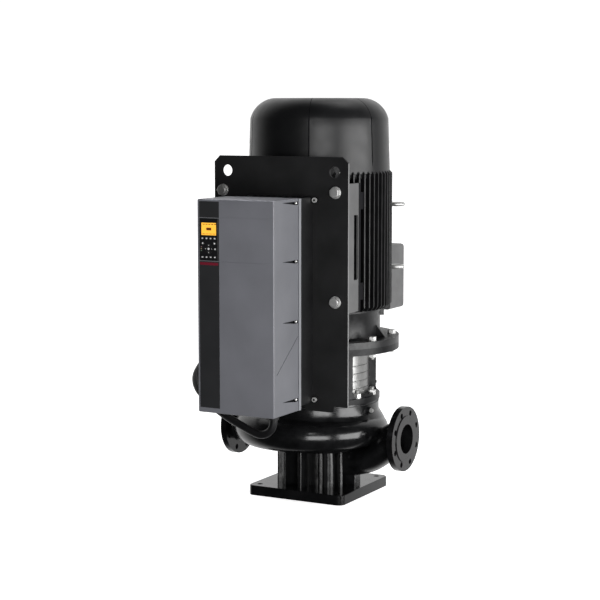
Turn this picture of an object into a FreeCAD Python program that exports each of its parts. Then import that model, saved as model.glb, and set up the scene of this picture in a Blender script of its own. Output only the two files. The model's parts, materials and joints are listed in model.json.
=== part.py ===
import FreeCAD, Part
import math
import os

# In-line single-stage centrifugal pump with a vertical flange-mounted motor and a frequency converter
# hung in front of it. X runs along the pipe, Z is the shaft axis, -Y faces the control panel.
# The origin is on the shaft axis at the underside of the base plate. All sizes are millimetres.

V = FreeCAD.Vector
Z_AXIS = V(0, 0, 1)

# Pipe connections: DN100 PN16 flanges
face_to_face = 670.0
pipe_axis_height = 211.0
pipe_bore_r = 50.0
bore_step = 0.8
bore_cut_in = 5.0
flange_r = 110.0
flange_thickness = 24.0
raised_face_r = 79.0
raised_face_height = 3.0
flange_bolt_circle = 180.0
flange_bolt_count = 8
suction_hole_r = 9.5
discharge_hole_r = 9.7
casting_wall = 9.0
gauge_reach = 114.0
gauge_thread_r = 6.0
gauge_depth = 12.0

# Base plate and foot
base_side = 364.0
base_thickness = 34.0
base_corner_r = 24.0
base_hole_spacing = 300.0
base_hole_r = 9.5
foot_barrel_r = 84.0
foot_rib_r = 144.0
foot_rib_count = 12
foot_rib_width = 13.0
foot_pillar_r = 24.0
foot_bolt_circle_r = 107.0
foot_bolt_r = 8.0
foot_bolt_flats = 24.0
foot_bolt_head = 10.0
foot_bolt_bite = 26.0
counterbore_r = 17.0
counterbore_depth = 14.0

# Volute casing
volute_axis_height = 229.0
casing_bottom = 170.0
skirt_bottom = 158.0
casing_top = 322.0
collar_r = 207.0
collar_height = 29.0
spiral_start_angle = 205.0
spiral_end_angle = -150.0
neck_start_angle = -105.0
spiral_start_reach = 183.0
spiral_growth = 0.31
section_start_r = 24.0
section_growth = 0.105
passage_start_r = 8.0
passage_growth = 0.11
spiral_sections = 12
neck_sections = 8
passage_sections = 13
casing_bore_r = 166.0
chamber_r = 170.0
chamber_height = 51.0
fit_gap = 0.2

# Impeller and wear ring
impeller_r = 160.0
impeller_width = 22.0
impeller_shroud = 6.0
impeller_eye_r = 52.0
impeller_neck_r = 60.0
impeller_hub_r = 34.0
blade_count = 6
blade_thickness = 5.0
wear_ring_r = 66.0
wear_ring_gap = 0.3
impeller_end_gap = 1.5
impeller_seat_r = 16.0
impeller_thread_r = 12.0
impeller_nut_flats = 36.0
key_width = 10.0
key_height = 8.0
key_length = 28.0

# Cover, gasket and shaft seal
gasket_thickness = 1.5
cover_rim_thickness = 6.0
cover_rim_r = 204.0
cover_floor = 16.0
seal_chamber_r = 45.0
seal_seat_r = 33.0
seal_seat_length = 12.0
seal_ring_length = 24.0
seal_gap = 0.1
pump_shaft_r = 20.0

# Motor stool, its studs and windows
stool_flange_r = 210.0
stool_flange_thickness = 18.5
stool_height = 198.5
stool_wall_r = 197.0
stool_inner_r = 172.0
stud_circle_r = 190.0
stud_count = 12
stud_first_angle = 10.0
stud_r = 8.0
stud_depth = 26.0
nut_flats = 24.0
nut_height = 13.0
washer_r = 15.0
washer_thickness = 3.0
window_half_angle = 27.0
window_margin = 8.0

# Coupling and its guards
coupling_r = 52.0
coupling_length = 88.0
coupling_split = 1.5
coupling_screw_r = 5.0
coupling_screw_rows = 3
guard_thickness = 1.5
guard_half_angle = 34.0
guard_rib_pitch = 26.0

# Motor flange and shields
motor_flange_r = 275.0
motor_flange_thickness = 22.0
motor_flange_bolt_circle_r = 250.0
motor_flange_bolts = 8
motor_flange_first_angle = 28.0
motor_spigot_r = 225.0
motor_spigot_height = 5.0
shield_neck_r = 210.0
shield_height = 113.0
bearing_outer_r = 80.0
bearing_inner_r = 53.0
bearing_width = 37.0
bearing_clearance = 0.08
bearing_relief = 0.5
bearing_seat_r = 37.5

# Motor frame, stator and rotor
frame_length = 454.0
frame_bore_r = 205.0
frame_wall_r = 213.0
fin_tip_r = 249.0
fin_count = 72
fin_root_width = 8.0
fin_tip_width = 4.5
fin_end_chamfer = 14.0
stator_bore_r = 140.0
air_gap = 0.8
core_length = 240.0
core_start = 80.0
winding_overhang = 58.0
motor_shaft_r = 32.5
motor_shaft_end = 140.0
rotor_shaft_r = 45.0

# Fan and fan cover
cover_bottom_r = 241.0
cover_crease_r = 234.5
cover_top_r = 155.0
fan_cover_height = 250.0
cover_crease_height = 181.0
fan_cover_wall = 3.0
fan_cover_lift = 21.0
cover_screw_lift = 6.0
seam_bearings = (-70.6, -15.0)
cover_screw_r = 3.0
cover_screw_length = 16.0
cover_screw_angles = (45.0, 135.0, 225.0, 315.0)
fan_r = 188.0
fan_blades = 8
fan_seat_r = 27.5
grille_rings = 5
grille_slot = 9.0
grille_sectors = 6

# Lifting eyes and terminal box on the motor
eye_angles = (45.0, 135.0)
eye_heights = (133.0, 350.0)
eye_ring_r = 21.0
eye_wire_r = 7.0
box_half_width = 150.0
box_bottom = 612.0
box_height = 228.0
box_back = 255.0
box_depth = 72.0
box_lid_depth = 48.0
box_wall = 5.0

# Mounting plate and brackets of the converter
plate_front = -286.0
plate_thickness = 8.0
plate_centre_x = 6.0
plate_half_width = 249.0
plate_bottom = 356.0
plate_top = 1166.0
plate_chamfer = 20.0
lift_hole_r = 19.0
lift_hole_spacing = 400.0
lift_hole_drop = 49.0
plate_bolt_x = 210.0
plate_bolt_heights = (698.0, 1052.0)
plate_bolt_r = 10.0
plate_bolt_flats = 30.0
plate_washer_r = 20.0
bracket_outer_x = 235.0
bracket_sheet = 6.0
bracket_back = -155.0
bracket_bottom = 659.0
bracket_top = 1079.0
bracket_slot_width = 16.0
bracket_slot_length = 212.0
bracket_slot_y = -182.0

# Frequency converter
drive_centre_x = 15.0
drive_half_width = 138.0
drive_front = -590.0
drive_cover_thickness = 18.0
drive_rear = -414.0
drive_bottom = 361.0
drive_top = 1039.0
drive_corner_r = 5.0
drive_wall = 18.0
sink_half_width = 112.0
sink_slots = 9
sink_slot_width = 14.0
ear_x = 123.0
ear_size = 24.0
clip_heights = (394.0, 645.0, 836.0, 1020.0)
clip_length = 100.0
clip_depth = 13.0
clip_height = 10.0

# Control strip, panel, display and keys on the converter's front
strip_left = -115.0
strip_right = -43.0
strip_bottom = 377.0
strip_top = 1032.0
pocket_depth = 6.0
panel_bottom = 846.0
panel_top = 979.0
panel_margin = 2.5
panel_proud = 3.0
panel_wall = 2.5
display_left = -106.0
display_right = -52.0
display_bottom = 926.0
display_top = 965.0
key_clearance = 0.3
key_proud = 1.4
lens_heights = (877.0, 883.0, 889.0)
band_bottom = 831.0
band_top = 842.0
strip_proud = 0.8

# Motor cable with its glands
cable_r = 13.0
drive_gland_x = 62.0
drive_gland_y = -430.0
box_gland_x = -60.0
gland_length = 36.0
gland_r = 20.0

# Levels along the shaft axis that follow from the sizes above
half_length = face_to_face / 2
gasket_top = casing_top + gasket_thickness
rim_top = gasket_top + cover_rim_thickness
stool_top = rim_top + stool_height
shield_top = stool_top + shield_height
frame_top = shield_top + frame_length
chamber_floor = volute_axis_height - chamber_height / 2
chamber_roof = volute_axis_height + chamber_height / 2
impeller_top = volute_axis_height + impeller_width / 2 + impeller_shroud
impeller_rim_bottom = volute_axis_height - impeller_width / 2 - impeller_shroud
hub_top = impeller_top + 17
hub_bottom = impeller_top - 23
neck_bottom = chamber_floor - 27
shaft_end = stool_top - motor_shaft_end
drive_bearing_z = stool_top + 39
fan_bearing_z = frame_top + 11
seat_bottom = chamber_roof + 34
plate_back = plate_front + plate_thickness
panel_left = strip_left + panel_margin
panel_right = strip_right - panel_margin
pocket_floor = drive_front + pocket_depth


def box(x0, x1, y0, y1, z0, z1):
    return Part.makeBox(x1 - x0, y1 - y0, z1 - z0, V(x0, y0, z0))


def cylinder(radius, z0, z1, x=0.0, y=0.0):
    return Part.makeCylinder(radius, z1 - z0, V(x, y, z0))


def rod(radius, start, end):
    return Part.makeCylinder(radius, (end - start).Length, start, end - start)


def revolve(profile):
    points = [V(r, 0, z) for r, z in profile]
    return Part.Face(Part.makePolygon(points + points[:1])).revolve(V(0, 0, 0), Z_AXIS, 360)


def ring(inner_r, outer_r, z0, z1):
    return revolve([(inner_r, z0), (outer_r, z0), (outer_r, z1), (inner_r, z1)])


def turned(shape, angle):
    copy = shape.copy()
    copy.rotate(V(0, 0, 0), Z_AXIS, angle)
    return copy


def around(shape, count, first=0.0):
    return [turned(shape, first + i * 360.0 / count) for i in range(count)]


def mirrored(shape):
    return shape.mirror(V(0, 0, 0), V(1, 0, 0))


def fused(shapes):
    return shapes[0].multiFuse(shapes[1:]).removeSplitter() if len(shapes) > 1 else shapes[0]


def grouped(shapes):
    return Part.makeCompound(shapes)


def hexagon(flats, start, end):
    """Six-sided prism between two points, with its flats across the given size."""
    corner_r = flats / math.sqrt(3)
    points = [V(corner_r * math.cos(math.radians(60 * i)), corner_r * math.sin(math.radians(60 * i)), 0)
              for i in range(7)]
    prism = Part.Face(Part.makePolygon(points)).extrude(V(0, 0, (end - start).Length))
    prism.Placement = FreeCAD.Placement(start, FreeCAD.Rotation(Z_AXIS, end - start))
    return prism


def bolt(radius, flats, head_height, washer, head, tip):
    """Hexagon bolt with a washer; head is the point under the washer, tip the end of the shank."""
    along = (tip - head).normalize()
    seat = head - along * washer_thickness
    return fused([rod(radius, seat, tip), rod(washer, seat, head),
                  hexagon(flats, seat - along * head_height, seat)])


def rounded_box(x0, x1, y0, y1, z0, z1, radius, axis):
    """Box whose four edges along one axis are rounded."""
    body = box(x0, x1, y0, y1, z0, z1)
    edges = [e for e in body.Edges if abs(getattr(e.tangentAt(e.FirstParameter), axis)) > 0.99]
    return body.makeFillet(radius, edges)


def section_wire(centre, heading, side, width, height=None):
    """Closed section across a passage: a circle, or an oval that is wider along its side direction."""
    if height is None or abs(width - height) < 0.01:
        curve = Part.Circle(centre, heading, width)
        curve.XAxis = side
        return Part.Wire(curve.toShape())
    up = heading.cross(side)
    if height > width:
        curve = Part.Ellipse(centre + up * height, centre + side * width, centre)
        start = math.pi / 2 * 3
    else:
        curve = Part.Ellipse(centre + side * width, centre + up * height, centre)
        start = 0
    return Part.Wire(curve.toShape(start, start + 2 * math.pi))


def polar(radius, angle, z):
    return V(radius * math.cos(math.radians(angle)), radius * math.sin(math.radians(angle)), z)


def spiral_section(angle):
    """Outer reach from the shaft and section radius of the spiral casing at an angle."""
    wrap = spiral_start_angle - angle
    return spiral_start_reach + spiral_growth * wrap, section_start_r + section_growth * wrap


def spiral_wire(angle, reach, radius):
    centre = polar(reach - radius, angle, volute_axis_height)
    return section_wire(centre, polar(1, angle - 90, 0), polar(1, angle, 0), radius)


def neck_path(start_radius, t):
    """Centre line of the discharge neck, from the spiral to the far flange."""
    heading = polar(1, neck_start_angle - 90, 0)
    start = polar(start_radius, neck_start_angle, 0)
    end = V(-half_length + flange_thickness, 0, 0)
    points = [start, start + heading * 190, V(end.x + 86, 0, 0), end]
    weights = [(1 - t) ** 3, 3 * t * (1 - t) ** 2, 3 * t * t * (1 - t), t ** 3]
    place = V(0, 0, 0)
    for point, weight in zip(points, weights):
        place += point * weight
    ease = t * t * (3 - 2 * t)
    place.z = volute_axis_height + (pipe_axis_height - volute_axis_height) * ease
    return place


def neck_wires(start_radius, radius_start, radius_end, steps):
    wires = []
    for i in range(steps + 1):
        t = i / steps
        ahead = neck_path(start_radius, t + 0.001) - neck_path(start_radius, t - 0.001)
        ahead.z = 0
        ahead.normalize()
        wires.append(section_wire(neck_path(start_radius, t), ahead, V(ahead.y, -ahead.x, 0),
                                  radius_start + (radius_end - radius_start) * t))
    return wires


def suction_sections():
    """Centre, heading and changes of height and width of the suction bend, from flange to eye."""
    back = half_length - flange_thickness
    eye_level = neck_bottom + 2
    level = pipe_axis_height
    return [(back, level, 180, 0, 0), (back - 16, level - 4, 196, -1, 2), (back - 32, level - 13, 212, -3, 4),
            (back - 50, level - 29, 224, -7, 7), (back - 72, level - 54, 224, -12, 11),
            (back - 92, level - 70, 212, -13, 12), (back - 118, level - 82, 198, -12, 13),
            (160, 121, 190, -10, 12), (112, 115, 182, -7, 9), (70, 115, 172, -5, 6), (40, 122, 154, -4, 5),
            (18, 136, 130, -3, 3), (5, 154, 108, -1, 1), (0, eye_level, 90, 1, 1)]


def suction_wires(extra):
    wires = []
    for x, z, heading, height_change, width_change in suction_sections():
        direction = V(math.cos(math.radians(heading)), 0, math.sin(math.radians(heading)))
        wires.append(section_wire(V(x, 0, z), direction, V(0, 1, 0), pipe_bore_r + width_change + extra,
                                  pipe_bore_r + height_change + extra))
    return wires


def pipe_flange(sign):
    """One pipe flange with its raised face, drilled so that the holes straddle the centre lines."""
    face = sign * half_length
    inward = V(-sign, 0, 0)
    centre = V(face, 0, pipe_axis_height)
    body = rod(flange_r, centre + inward * raised_face_height, centre + inward * flange_thickness)
    body = body.fuse(rod(raised_face_r, centre, centre + inward * flange_thickness))
    hub_end = centre + inward * (flange_thickness + 14)
    body = body.fuse(Part.makeCone(pipe_bore_r + casting_wall + 11, pipe_bore_r + casting_wall + 1, 14,
                                   centre + inward * flange_thickness, hub_end - centre))
    return body


def flange_holes(sign):
    tools = []
    face = sign * half_length
    back = face - sign * (flange_thickness + 1)
    radius = suction_hole_r if sign > 0 else discharge_hole_r
    for i in range(flange_bolt_count):
        a = math.radians((i + 0.5) * 360.0 / flange_bolt_count)
        y = flange_bolt_circle / 2 * math.cos(a)
        z = pipe_axis_height + flange_bolt_circle / 2 * math.sin(a)
        tools.append(rod(radius, V(face + sign, y, z), V(back, y, z)))
    return tools


def gauge_bosses():
    """Tapping bosses for the pressure gauges, at the back of both nozzles behind their flanges."""
    return [rod(14, gauge_place(sign, pipe_bore_r + 4), gauge_place(sign, gauge_reach)) for sign in (1, -1)]


def gauge_place(sign, reach):
    return V(sign * (half_length - flange_thickness - 8), reach, pipe_axis_height)


def gauge_plugs():
    plugs = []
    for sign in (1, -1):
        face = gauge_place(sign, gauge_reach)
        collar = gauge_place(sign, gauge_reach + 2)
        plugs.append(fused([rod(gauge_thread_r, gauge_place(sign, gauge_reach - gauge_depth), face),
                            rod(10, face, collar),
                            hexagon(14, collar, gauge_place(sign, gauge_reach + 8))]))
    return grouped(plugs)


def foot():
    """Hollow foot under the volute with vertical ribs and pillars for its bolts."""
    shell = ring(foot_barrel_r - 14, foot_barrel_r, base_thickness, casing_bottom + 4)
    rib = box(foot_barrel_r - 6, foot_rib_r, -foot_rib_width / 2, foot_rib_width / 2,
              base_thickness, casing_bottom + 6)
    rib_edges = [e for e in rib.Edges if abs(e.tangentAt(e.FirstParameter).z) > 0.99
                 and e.CenterOfMass.x > foot_barrel_r]
    rib = rib.makeFillet(4, rib_edges)
    pillar = cylinder(foot_pillar_r, base_thickness, casing_bottom + 6, foot_bolt_circle_r, 0)
    return [shell] + around(rib, foot_rib_count) + around(pillar, 4, 45)


def volute_housing():
    skirt = casing_bore_r - 8
    core = revolve([(0, skirt_bottom), (skirt - 8, skirt_bottom), (skirt, casing_bottom),
                    (skirt + 8, casing_bottom + 4), (collar_r - 10, volute_axis_height - 30),
                    (collar_r - 2, volute_axis_height),
                    (collar_r + 20, volute_axis_height + 30), (collar_r + 12, volute_axis_height + 44),
                    (collar_r, casing_top - collar_height), (collar_r, casing_top), (0, casing_top)])
    span = spiral_start_angle - spiral_end_angle
    angles = [spiral_start_angle - span * i / spiral_sections for i in range(spiral_sections + 1)]
    spiral = Part.makeLoft([spiral_wire(a, *spiral_section(a)) for a in angles], True, False)
    reach, radius = spiral_section(neck_start_angle)
    neck = Part.makeLoft(neck_wires(reach - radius, radius - 1.5, pipe_bore_r + casting_wall + 2,
                                    neck_sections), True, False)
    bend = Part.makeLoft(suction_wires(casting_wall), True, False)
    body = core
    flanges = [pipe_flange(1), pipe_flange(-1)]
    for piece in [spiral, neck, bend] + flanges + foot() + gauge_bosses() + [vent_boss()]:
        body = body.fuse(piece)
    body = body.removeSplitter()
    tools = [cylinder(casing_bore_r, chamber_roof - 1, casing_top + 1), impeller_chamber(),
             spiral_passage(), Part.makeLoft(suction_wires(0), True, False)]
    for sign in (1, -1):
        tools.append(rod(pipe_bore_r, V(sign * (half_length + 1), 0, pipe_axis_height),
                         V(sign * (half_length - flange_thickness), 0, pipe_axis_height)))
        tools += flange_holes(sign)
    tools += [cylinder(stud_r, casing_top - stud_depth, casing_top + 1, p.x, p.y) for p in stud_places()]
    tools += [cylinder(foot_bolt_r, base_thickness - 1, base_thickness + foot_bolt_bite + 4, p.x, p.y)
              for p in foot_bolt_places()]
    tools += [plug_hole(sign) for sign in (1, -1)]
    tools.append(rod(5, vent_place(), vent_place() - vent_heading() * 12))
    return cut_all(body, tools)


def cut_all(body, tools):
    for tool in tools:
        body = body.cut(tool)
    return body


def plug_hole(sign):
    bottom = gauge_place(sign, gauge_reach - gauge_depth)
    return rod(gauge_thread_r, bottom, gauge_place(sign, gauge_reach + 1))


def stud_places():
    return [polar(stud_circle_r, stud_first_angle + i * 360.0 / stud_count, 0) for i in range(stud_count)]


def foot_bolt_places():
    return [polar(foot_bolt_circle_r, 45 + 90 * i, 0) for i in range(4)]


def impeller_chamber():
    return revolve([(0, chamber_roof), (chamber_r, chamber_roof), (chamber_r, chamber_floor),
                    (wear_ring_r, chamber_floor - 12), (wear_ring_r, neck_bottom),
                    (impeller_eye_r - 1, neck_bottom), (0, neck_bottom)])


def spiral_passage():
    """Water passage: the growing spiral and the neck that widens to the discharge bore."""
    wires = []
    span = spiral_start_angle - neck_start_angle
    for i in range(passage_sections):
        wrap = span * i / passage_sections
        radius = passage_start_r + passage_growth * wrap
        wires.append(spiral_wire(spiral_start_angle - wrap, casing_bore_r + 2 * radius, radius))
    last = passage_start_r + passage_growth * span
    cored_r = pipe_bore_r - bore_step
    wires += neck_wires(casing_bore_r + last, last, cored_r, neck_sections)
    into_bore = V(flange_thickness - bore_cut_in - half_length, 0, pipe_axis_height)
    wires.append(section_wire(into_bore, V(-1, 0, 0), V(0, 1, 0), cored_r))
    return Part.makeLoft(wires, True, False)


def vent_heading():
    return polar(1, -8, 0)


def vent_place():
    return polar(collar_r + 9, -8, casing_top - collar_height + 10)


def vent_boss():
    """Boss on the collar that carries the air vent screw."""
    return rod(11, vent_place() - vent_heading() * 20, vent_place())


def air_vent_screw():
    tip = vent_place()
    out = vent_heading()
    return fused([rod(5, tip - out * 12, tip), rod(8, tip, tip + out * 2),
                  hexagon(12, tip + out * 2, tip + out * 8)])


def base_plate():
    half = base_side / 2
    plate = rounded_box(-half, half, -half, half, 0, base_thickness, base_corner_r, "z")
    top_edges = [e for e in plate.Edges if e.BoundBox.ZMin > base_thickness - 0.01]
    plate = plate.makeChamfer(2, top_edges)
    reach = base_hole_spacing / 2
    tools = [cylinder(base_hole_r, -1, base_thickness + 1, sx * reach, sy * reach) for sx in (1, -1)
             for sy in (1, -1)]
    for p in foot_bolt_places():
        tools.append(cylinder(foot_bolt_r + 1, -1, base_thickness + 1, p.x, p.y))
        tools.append(cylinder(counterbore_r, -1, counterbore_depth, p.x, p.y))
    return cut_all(plate, tools)


def foot_bolts():
    """Bolts from the underside of the base plate up into the pillars of the foot."""
    return grouped([bolt(foot_bolt_r, foot_bolt_flats, foot_bolt_head, counterbore_r - 2,
                         V(p.x, p.y, counterbore_depth), V(p.x, p.y, base_thickness + foot_bolt_bite))
                    for p in foot_bolt_places()])


def wear_ring():
    return ring(impeller_neck_r + wear_ring_gap, wear_ring_r, neck_bottom, chamber_floor - 12)


def shroud_profile():
    """Closed profile of the water space between the two shrouds, used to trim the blades."""
    top = impeller_top - impeller_shroud
    return [(impeller_eye_r - 2, neck_bottom + 18), (78, chamber_floor + 6),
            (impeller_r, impeller_rim_bottom + impeller_shroud - 1), (impeller_r, top + 1), (70, top + 1),
            (38, top - 6), (38, neck_bottom + 30)]


def impeller():
    top = impeller_top - impeller_shroud
    low = neck_bottom + impeller_end_gap
    front = revolve([(impeller_eye_r, low), (impeller_neck_r, low),
                     (impeller_neck_r, chamber_floor - 8), (78, chamber_floor - 1),
                     (impeller_r, impeller_rim_bottom), (impeller_r, impeller_rim_bottom + impeller_shroud),
                     (78, chamber_floor + 7), (impeller_eye_r, neck_bottom + 20)])
    back = revolve([(impeller_seat_r, hub_bottom), (30, hub_bottom), (40, top - 7), (70, top),
                    (impeller_r, top), (impeller_r, impeller_top), (impeller_hub_r, impeller_top),
                    (impeller_hub_r, hub_top), (impeller_seat_r, hub_top)])
    blades = grouped(around(blade(), blade_count)).common(revolve(shroud_profile()))
    body = front.fuse([back] + blades.Solids).removeSplitter()
    return body.cut(impeller_key())


def blade():
    """Backward-curved blade as a strip between two arcs, wider than the water space."""
    places = [(impeller_eye_r - 6, 0, 110), (105, 22, 155), (impeller_r + 6, 62, 205)]
    outer = [polar(radius, angle, neck_bottom) for radius, angle, normal in places]
    inner = [p + polar(blade_thickness, place[2], 0) for p, place in zip(outer, places)]
    wire = Part.Wire([Part.Arc(*outer).toShape(), Part.makeLine(outer[2], inner[2]),
                      Part.Arc(*reversed(inner)).toShape(), Part.makeLine(inner[0], outer[0])])
    return Part.Face(wire).extrude(V(0, 0, impeller_top - neck_bottom))


def impeller_key():
    low = hub_bottom + 6
    return box(impeller_seat_r - key_height / 2, impeller_seat_r + key_height / 2,
               -key_width / 2, key_width / 2, low, low + key_length)


def impeller_nut():
    nut = hexagon(impeller_nut_flats, V(0, 0, hub_bottom - 16), V(0, 0, hub_bottom))
    return nut.cut(cylinder(impeller_thread_r, hub_bottom - 17, hub_bottom + 1))


def pump_shaft():
    low = hub_bottom - 20
    shaft = revolve([(0, low), (impeller_thread_r, low), (impeller_thread_r, hub_bottom),
                     (impeller_seat_r, hub_bottom), (impeller_seat_r, hub_top), (pump_shaft_r, hub_top),
                     (pump_shaft_r, shaft_end - 2), (0, shaft_end - 2)])
    return shaft.cut(impeller_key())


def pump_cover():
    """Cover that closes the casing and carries the stationary half of the seal."""
    floor_top = chamber_roof + cover_floor
    hub_rise = seat_bottom + seal_seat_length + 16
    profile = [(seal_chamber_r, chamber_roof), (casing_bore_r - fit_gap, chamber_roof),
               (casing_bore_r - fit_gap, gasket_top), (cover_rim_r, gasket_top), (cover_rim_r, rim_top),
               (casing_bore_r - 16, rim_top), (casing_bore_r - 16, floor_top), (62, floor_top),
               (62, hub_rise), (pump_shaft_r + 1, hub_rise),
               (pump_shaft_r + 1, seat_bottom + seal_seat_length),
               (seal_seat_r, seat_bottom + seal_seat_length), (seal_seat_r, seat_bottom),
               (seal_chamber_r, seat_bottom)]
    return cut_all(revolve(profile), [cylinder(stud_r + 0.5, gasket_top - 1, rim_top + 1, p.x, p.y)
                                      for p in stud_places()])


def cover_gasket():
    return cut_all(ring(casing_bore_r + 2, cover_rim_r, casing_top, gasket_top),
                   [cylinder(stud_r + 0.5, casing_top - 1, gasket_top + 1, p.x, p.y) for p in stud_places()])


def seal_seat():
    return ring(pump_shaft_r + 0.5, seal_seat_r, seat_bottom, seat_bottom + seal_seat_length)


def seal_rotating_ring():
    top = seat_bottom - seal_gap
    low = top - seal_ring_length
    return revolve([(pump_shaft_r, low), (29, low), (29, low + 6), (26, low + 8), (26, top - 8),
                    (31, top - 6), (31, top), (pump_shaft_r, top)])


def window(z0, z1):
    """Wedge between two radial planes that opens one side of the motor stool."""
    spread = math.tan(math.radians(window_half_angle))
    reach = stool_flange_r + 20
    points = [V(0, 0, z0), V(reach, -reach * spread, z0), V(reach, reach * spread, z0), V(0, 0, z0)]
    wedge = Part.Face(Part.makePolygon(points)).extrude(V(0, 0, z1 - z0))
    edges = [e for e in wedge.Edges if abs(e.tangentAt(e.FirstParameter).z) < 0.01
             and e.CenterOfMass.x < reach - 1]
    return wedge.makeFillet(10, edges)


def stool_window_levels():
    low = rim_top + stool_flange_thickness + window_margin
    return low, stool_top - motor_flange_thickness - window_margin


def motor_stool():
    low = rim_top + stool_flange_thickness
    high = stool_top - motor_flange_thickness
    body = revolve([(casing_bore_r - 14, rim_top), (stool_flange_r, rim_top), (stool_flange_r, low),
                    (stool_wall_r + 3, low), (stool_wall_r, low + 18), (stool_wall_r, high - 14),
                    (stool_wall_r + 10, high), (motor_flange_r, high), (motor_flange_r, stool_top),
                    (motor_spigot_r + fit_gap, stool_top),
                    (motor_spigot_r + fit_gap, stool_top - motor_spigot_height - fit_gap),
                    (casing_bore_r - 14, stool_top - motor_spigot_height - fit_gap),
                    (casing_bore_r - 14, high), (stool_inner_r, high - 4), (stool_inner_r, low + 2),
                    (casing_bore_r - 14, low)])
    opening = window(*stool_window_levels())
    tools = [opening, turned(opening, 180)]
    tools += [cylinder(stud_r + 0.5, rim_top - 1, low + 1, p.x, p.y) for p in stud_places()]
    tools += [cylinder(washer_r + 1.5, low, low + 30, p.x, p.y) for p in stud_places()]
    tools += [cylinder(9, high - 1, stool_top + 1, p.x, p.y) for p in motor_flange_places()]
    for side in (0, 180):
        tools += [turned(hole, side) for hole in guard_screw_rods(2.5, stool_inner_r - 2, stool_wall_r + 2)]
    return cut_all(body, tools)


def stool_fasteners():
    low = rim_top + stool_flange_thickness
    pieces = []
    for p in stud_places():
        stud = cylinder(stud_r, casing_top - stud_depth, low + 26, p.x, p.y)
        washer = cylinder(washer_r, low, low + washer_thickness, p.x, p.y)
        nut = hexagon(nut_flats, V(p.x, p.y, low + washer_thickness),
                      V(p.x, p.y, low + washer_thickness + nut_height))
        pieces += [stud, washer.cut(stud), nut.cut(stud)]
    return grouped(pieces)


def motor_flange_places():
    return [polar(motor_flange_bolt_circle_r, motor_flange_first_angle + i * 360.0 / motor_flange_bolts, 0)
            for i in range(motor_flange_bolts)]


def flange_bolts():
    top = stool_top + motor_flange_thickness
    low = stool_top - motor_flange_thickness
    pieces = []
    for p in motor_flange_places():
        shank = bolt(8, 24, 10, 15, V(p.x, p.y, top), V(p.x, p.y, low - 20))
        nut = hexagon(24, V(p.x, p.y, low - 13), V(p.x, p.y, low)).cut(shank)
        pieces += [shank, nut]
    return grouped(pieces)


def guard_screw_rods(radius, start_r, end_r):
    low, high = stool_window_levels()
    rods = []
    for angle in (-window_half_angle - 4, window_half_angle + 4):
        for z in (low + 24, high - 18):
            rods.append(rod(radius, polar(start_r, angle, z), polar(end_r, angle, z)))
    return rods


def coupling_guards():
    """Two curved sheet guards with pressed ribs, seated against the inside of the stool wall."""
    low, high = stool_window_levels()
    outer = stool_inner_r - fit_gap
    sheet = ring(outer - guard_thickness, outer, low - 2, high)
    spread = math.tan(math.radians(guard_half_angle))
    reach = stool_flange_r
    points = [V(0, 0, low - 10), V(reach, -reach * spread, low - 10), V(reach, reach * spread, low - 10)]
    sector = Part.Face(Part.makePolygon(points + points[:1])).extrude(V(0, 0, high - low + 20))
    ribs = []
    count = int((high - low - 20) / guard_rib_pitch)
    inner_spread = math.tan(math.radians(window_half_angle - 3))
    rib_points = [V(0, 0, low), V(reach, -reach * inner_spread, low), V(reach, reach * inner_spread, low)]
    rib_sector = Part.Face(Part.makePolygon(rib_points + rib_points[:1])).extrude(V(0, 0, high - low))
    for i in range(count):
        z = low + 18 + i * guard_rib_pitch
        bead = revolve([(outer - 0.5, z - 2.5), (outer + 1.5, z - 1), (outer + 1.5, z + 1),
                        (outer - 0.5, z + 2.5)])
        ribs.append(bead.common(rib_sector))
    guard = fused([sheet.common(sector)] + ribs)
    guard = cut_all(guard, guard_screw_rods(2.5, outer - 4, outer + 1))
    return grouped([guard, turned(guard, 180)])


def guard_screws():
    outer = stool_inner_r - fit_gap
    screws = []
    shanks = guard_screw_rods(2.5, outer - guard_thickness - 3, stool_wall_r)
    heads = guard_screw_rods(5, stool_wall_r, stool_wall_r + 3)
    for shank, head in zip(shanks, heads):
        screws.append(fused([shank, head]))
    return screws + [turned(s, 180) for s in screws]


def coupling_screw_places():
    low = shaft_end - 38
    pitch = coupling_length / coupling_screw_rows
    return [(sign * 41.0, low + pitch * (i + 0.5)) for sign in (1, -1) for i in range(coupling_screw_rows)]


def coupling_halves():
    """Clamp coupling split along the shafts: both halves grip the pump shaft and the motor shaft."""
    low = shaft_end - 38
    body = revolve([(pump_shaft_r, low), (coupling_r - 3, low), (coupling_r, low + 3),
                    (coupling_r, low + coupling_length - 3), (coupling_r - 3, low + coupling_length),
                    (motor_shaft_r, low + coupling_length), (motor_shaft_r, shaft_end),
                    (pump_shaft_r, shaft_end - 2)])
    tools = [box(-coupling_r - 1, coupling_r + 1, -coupling_split / 2, coupling_split / 2, low - 1,
                 low + coupling_length + 1)]
    for x, z in coupling_screw_places():
        tools.append(rod(coupling_screw_r, V(x, -40, z), V(x, 22, z)))
        tools.append(rod(8.5, V(x, -60, z), V(x, -22, z)))
    return grouped(cut_all(body, tools).Solids)


def coupling_screws():
    return grouped([fused([rod(coupling_screw_r, V(x, -22, z), V(x, 22, z)),
                           rod(8, V(x, -31, z), V(x, -22, z))]) for x, z in coupling_screw_places()])


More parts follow.
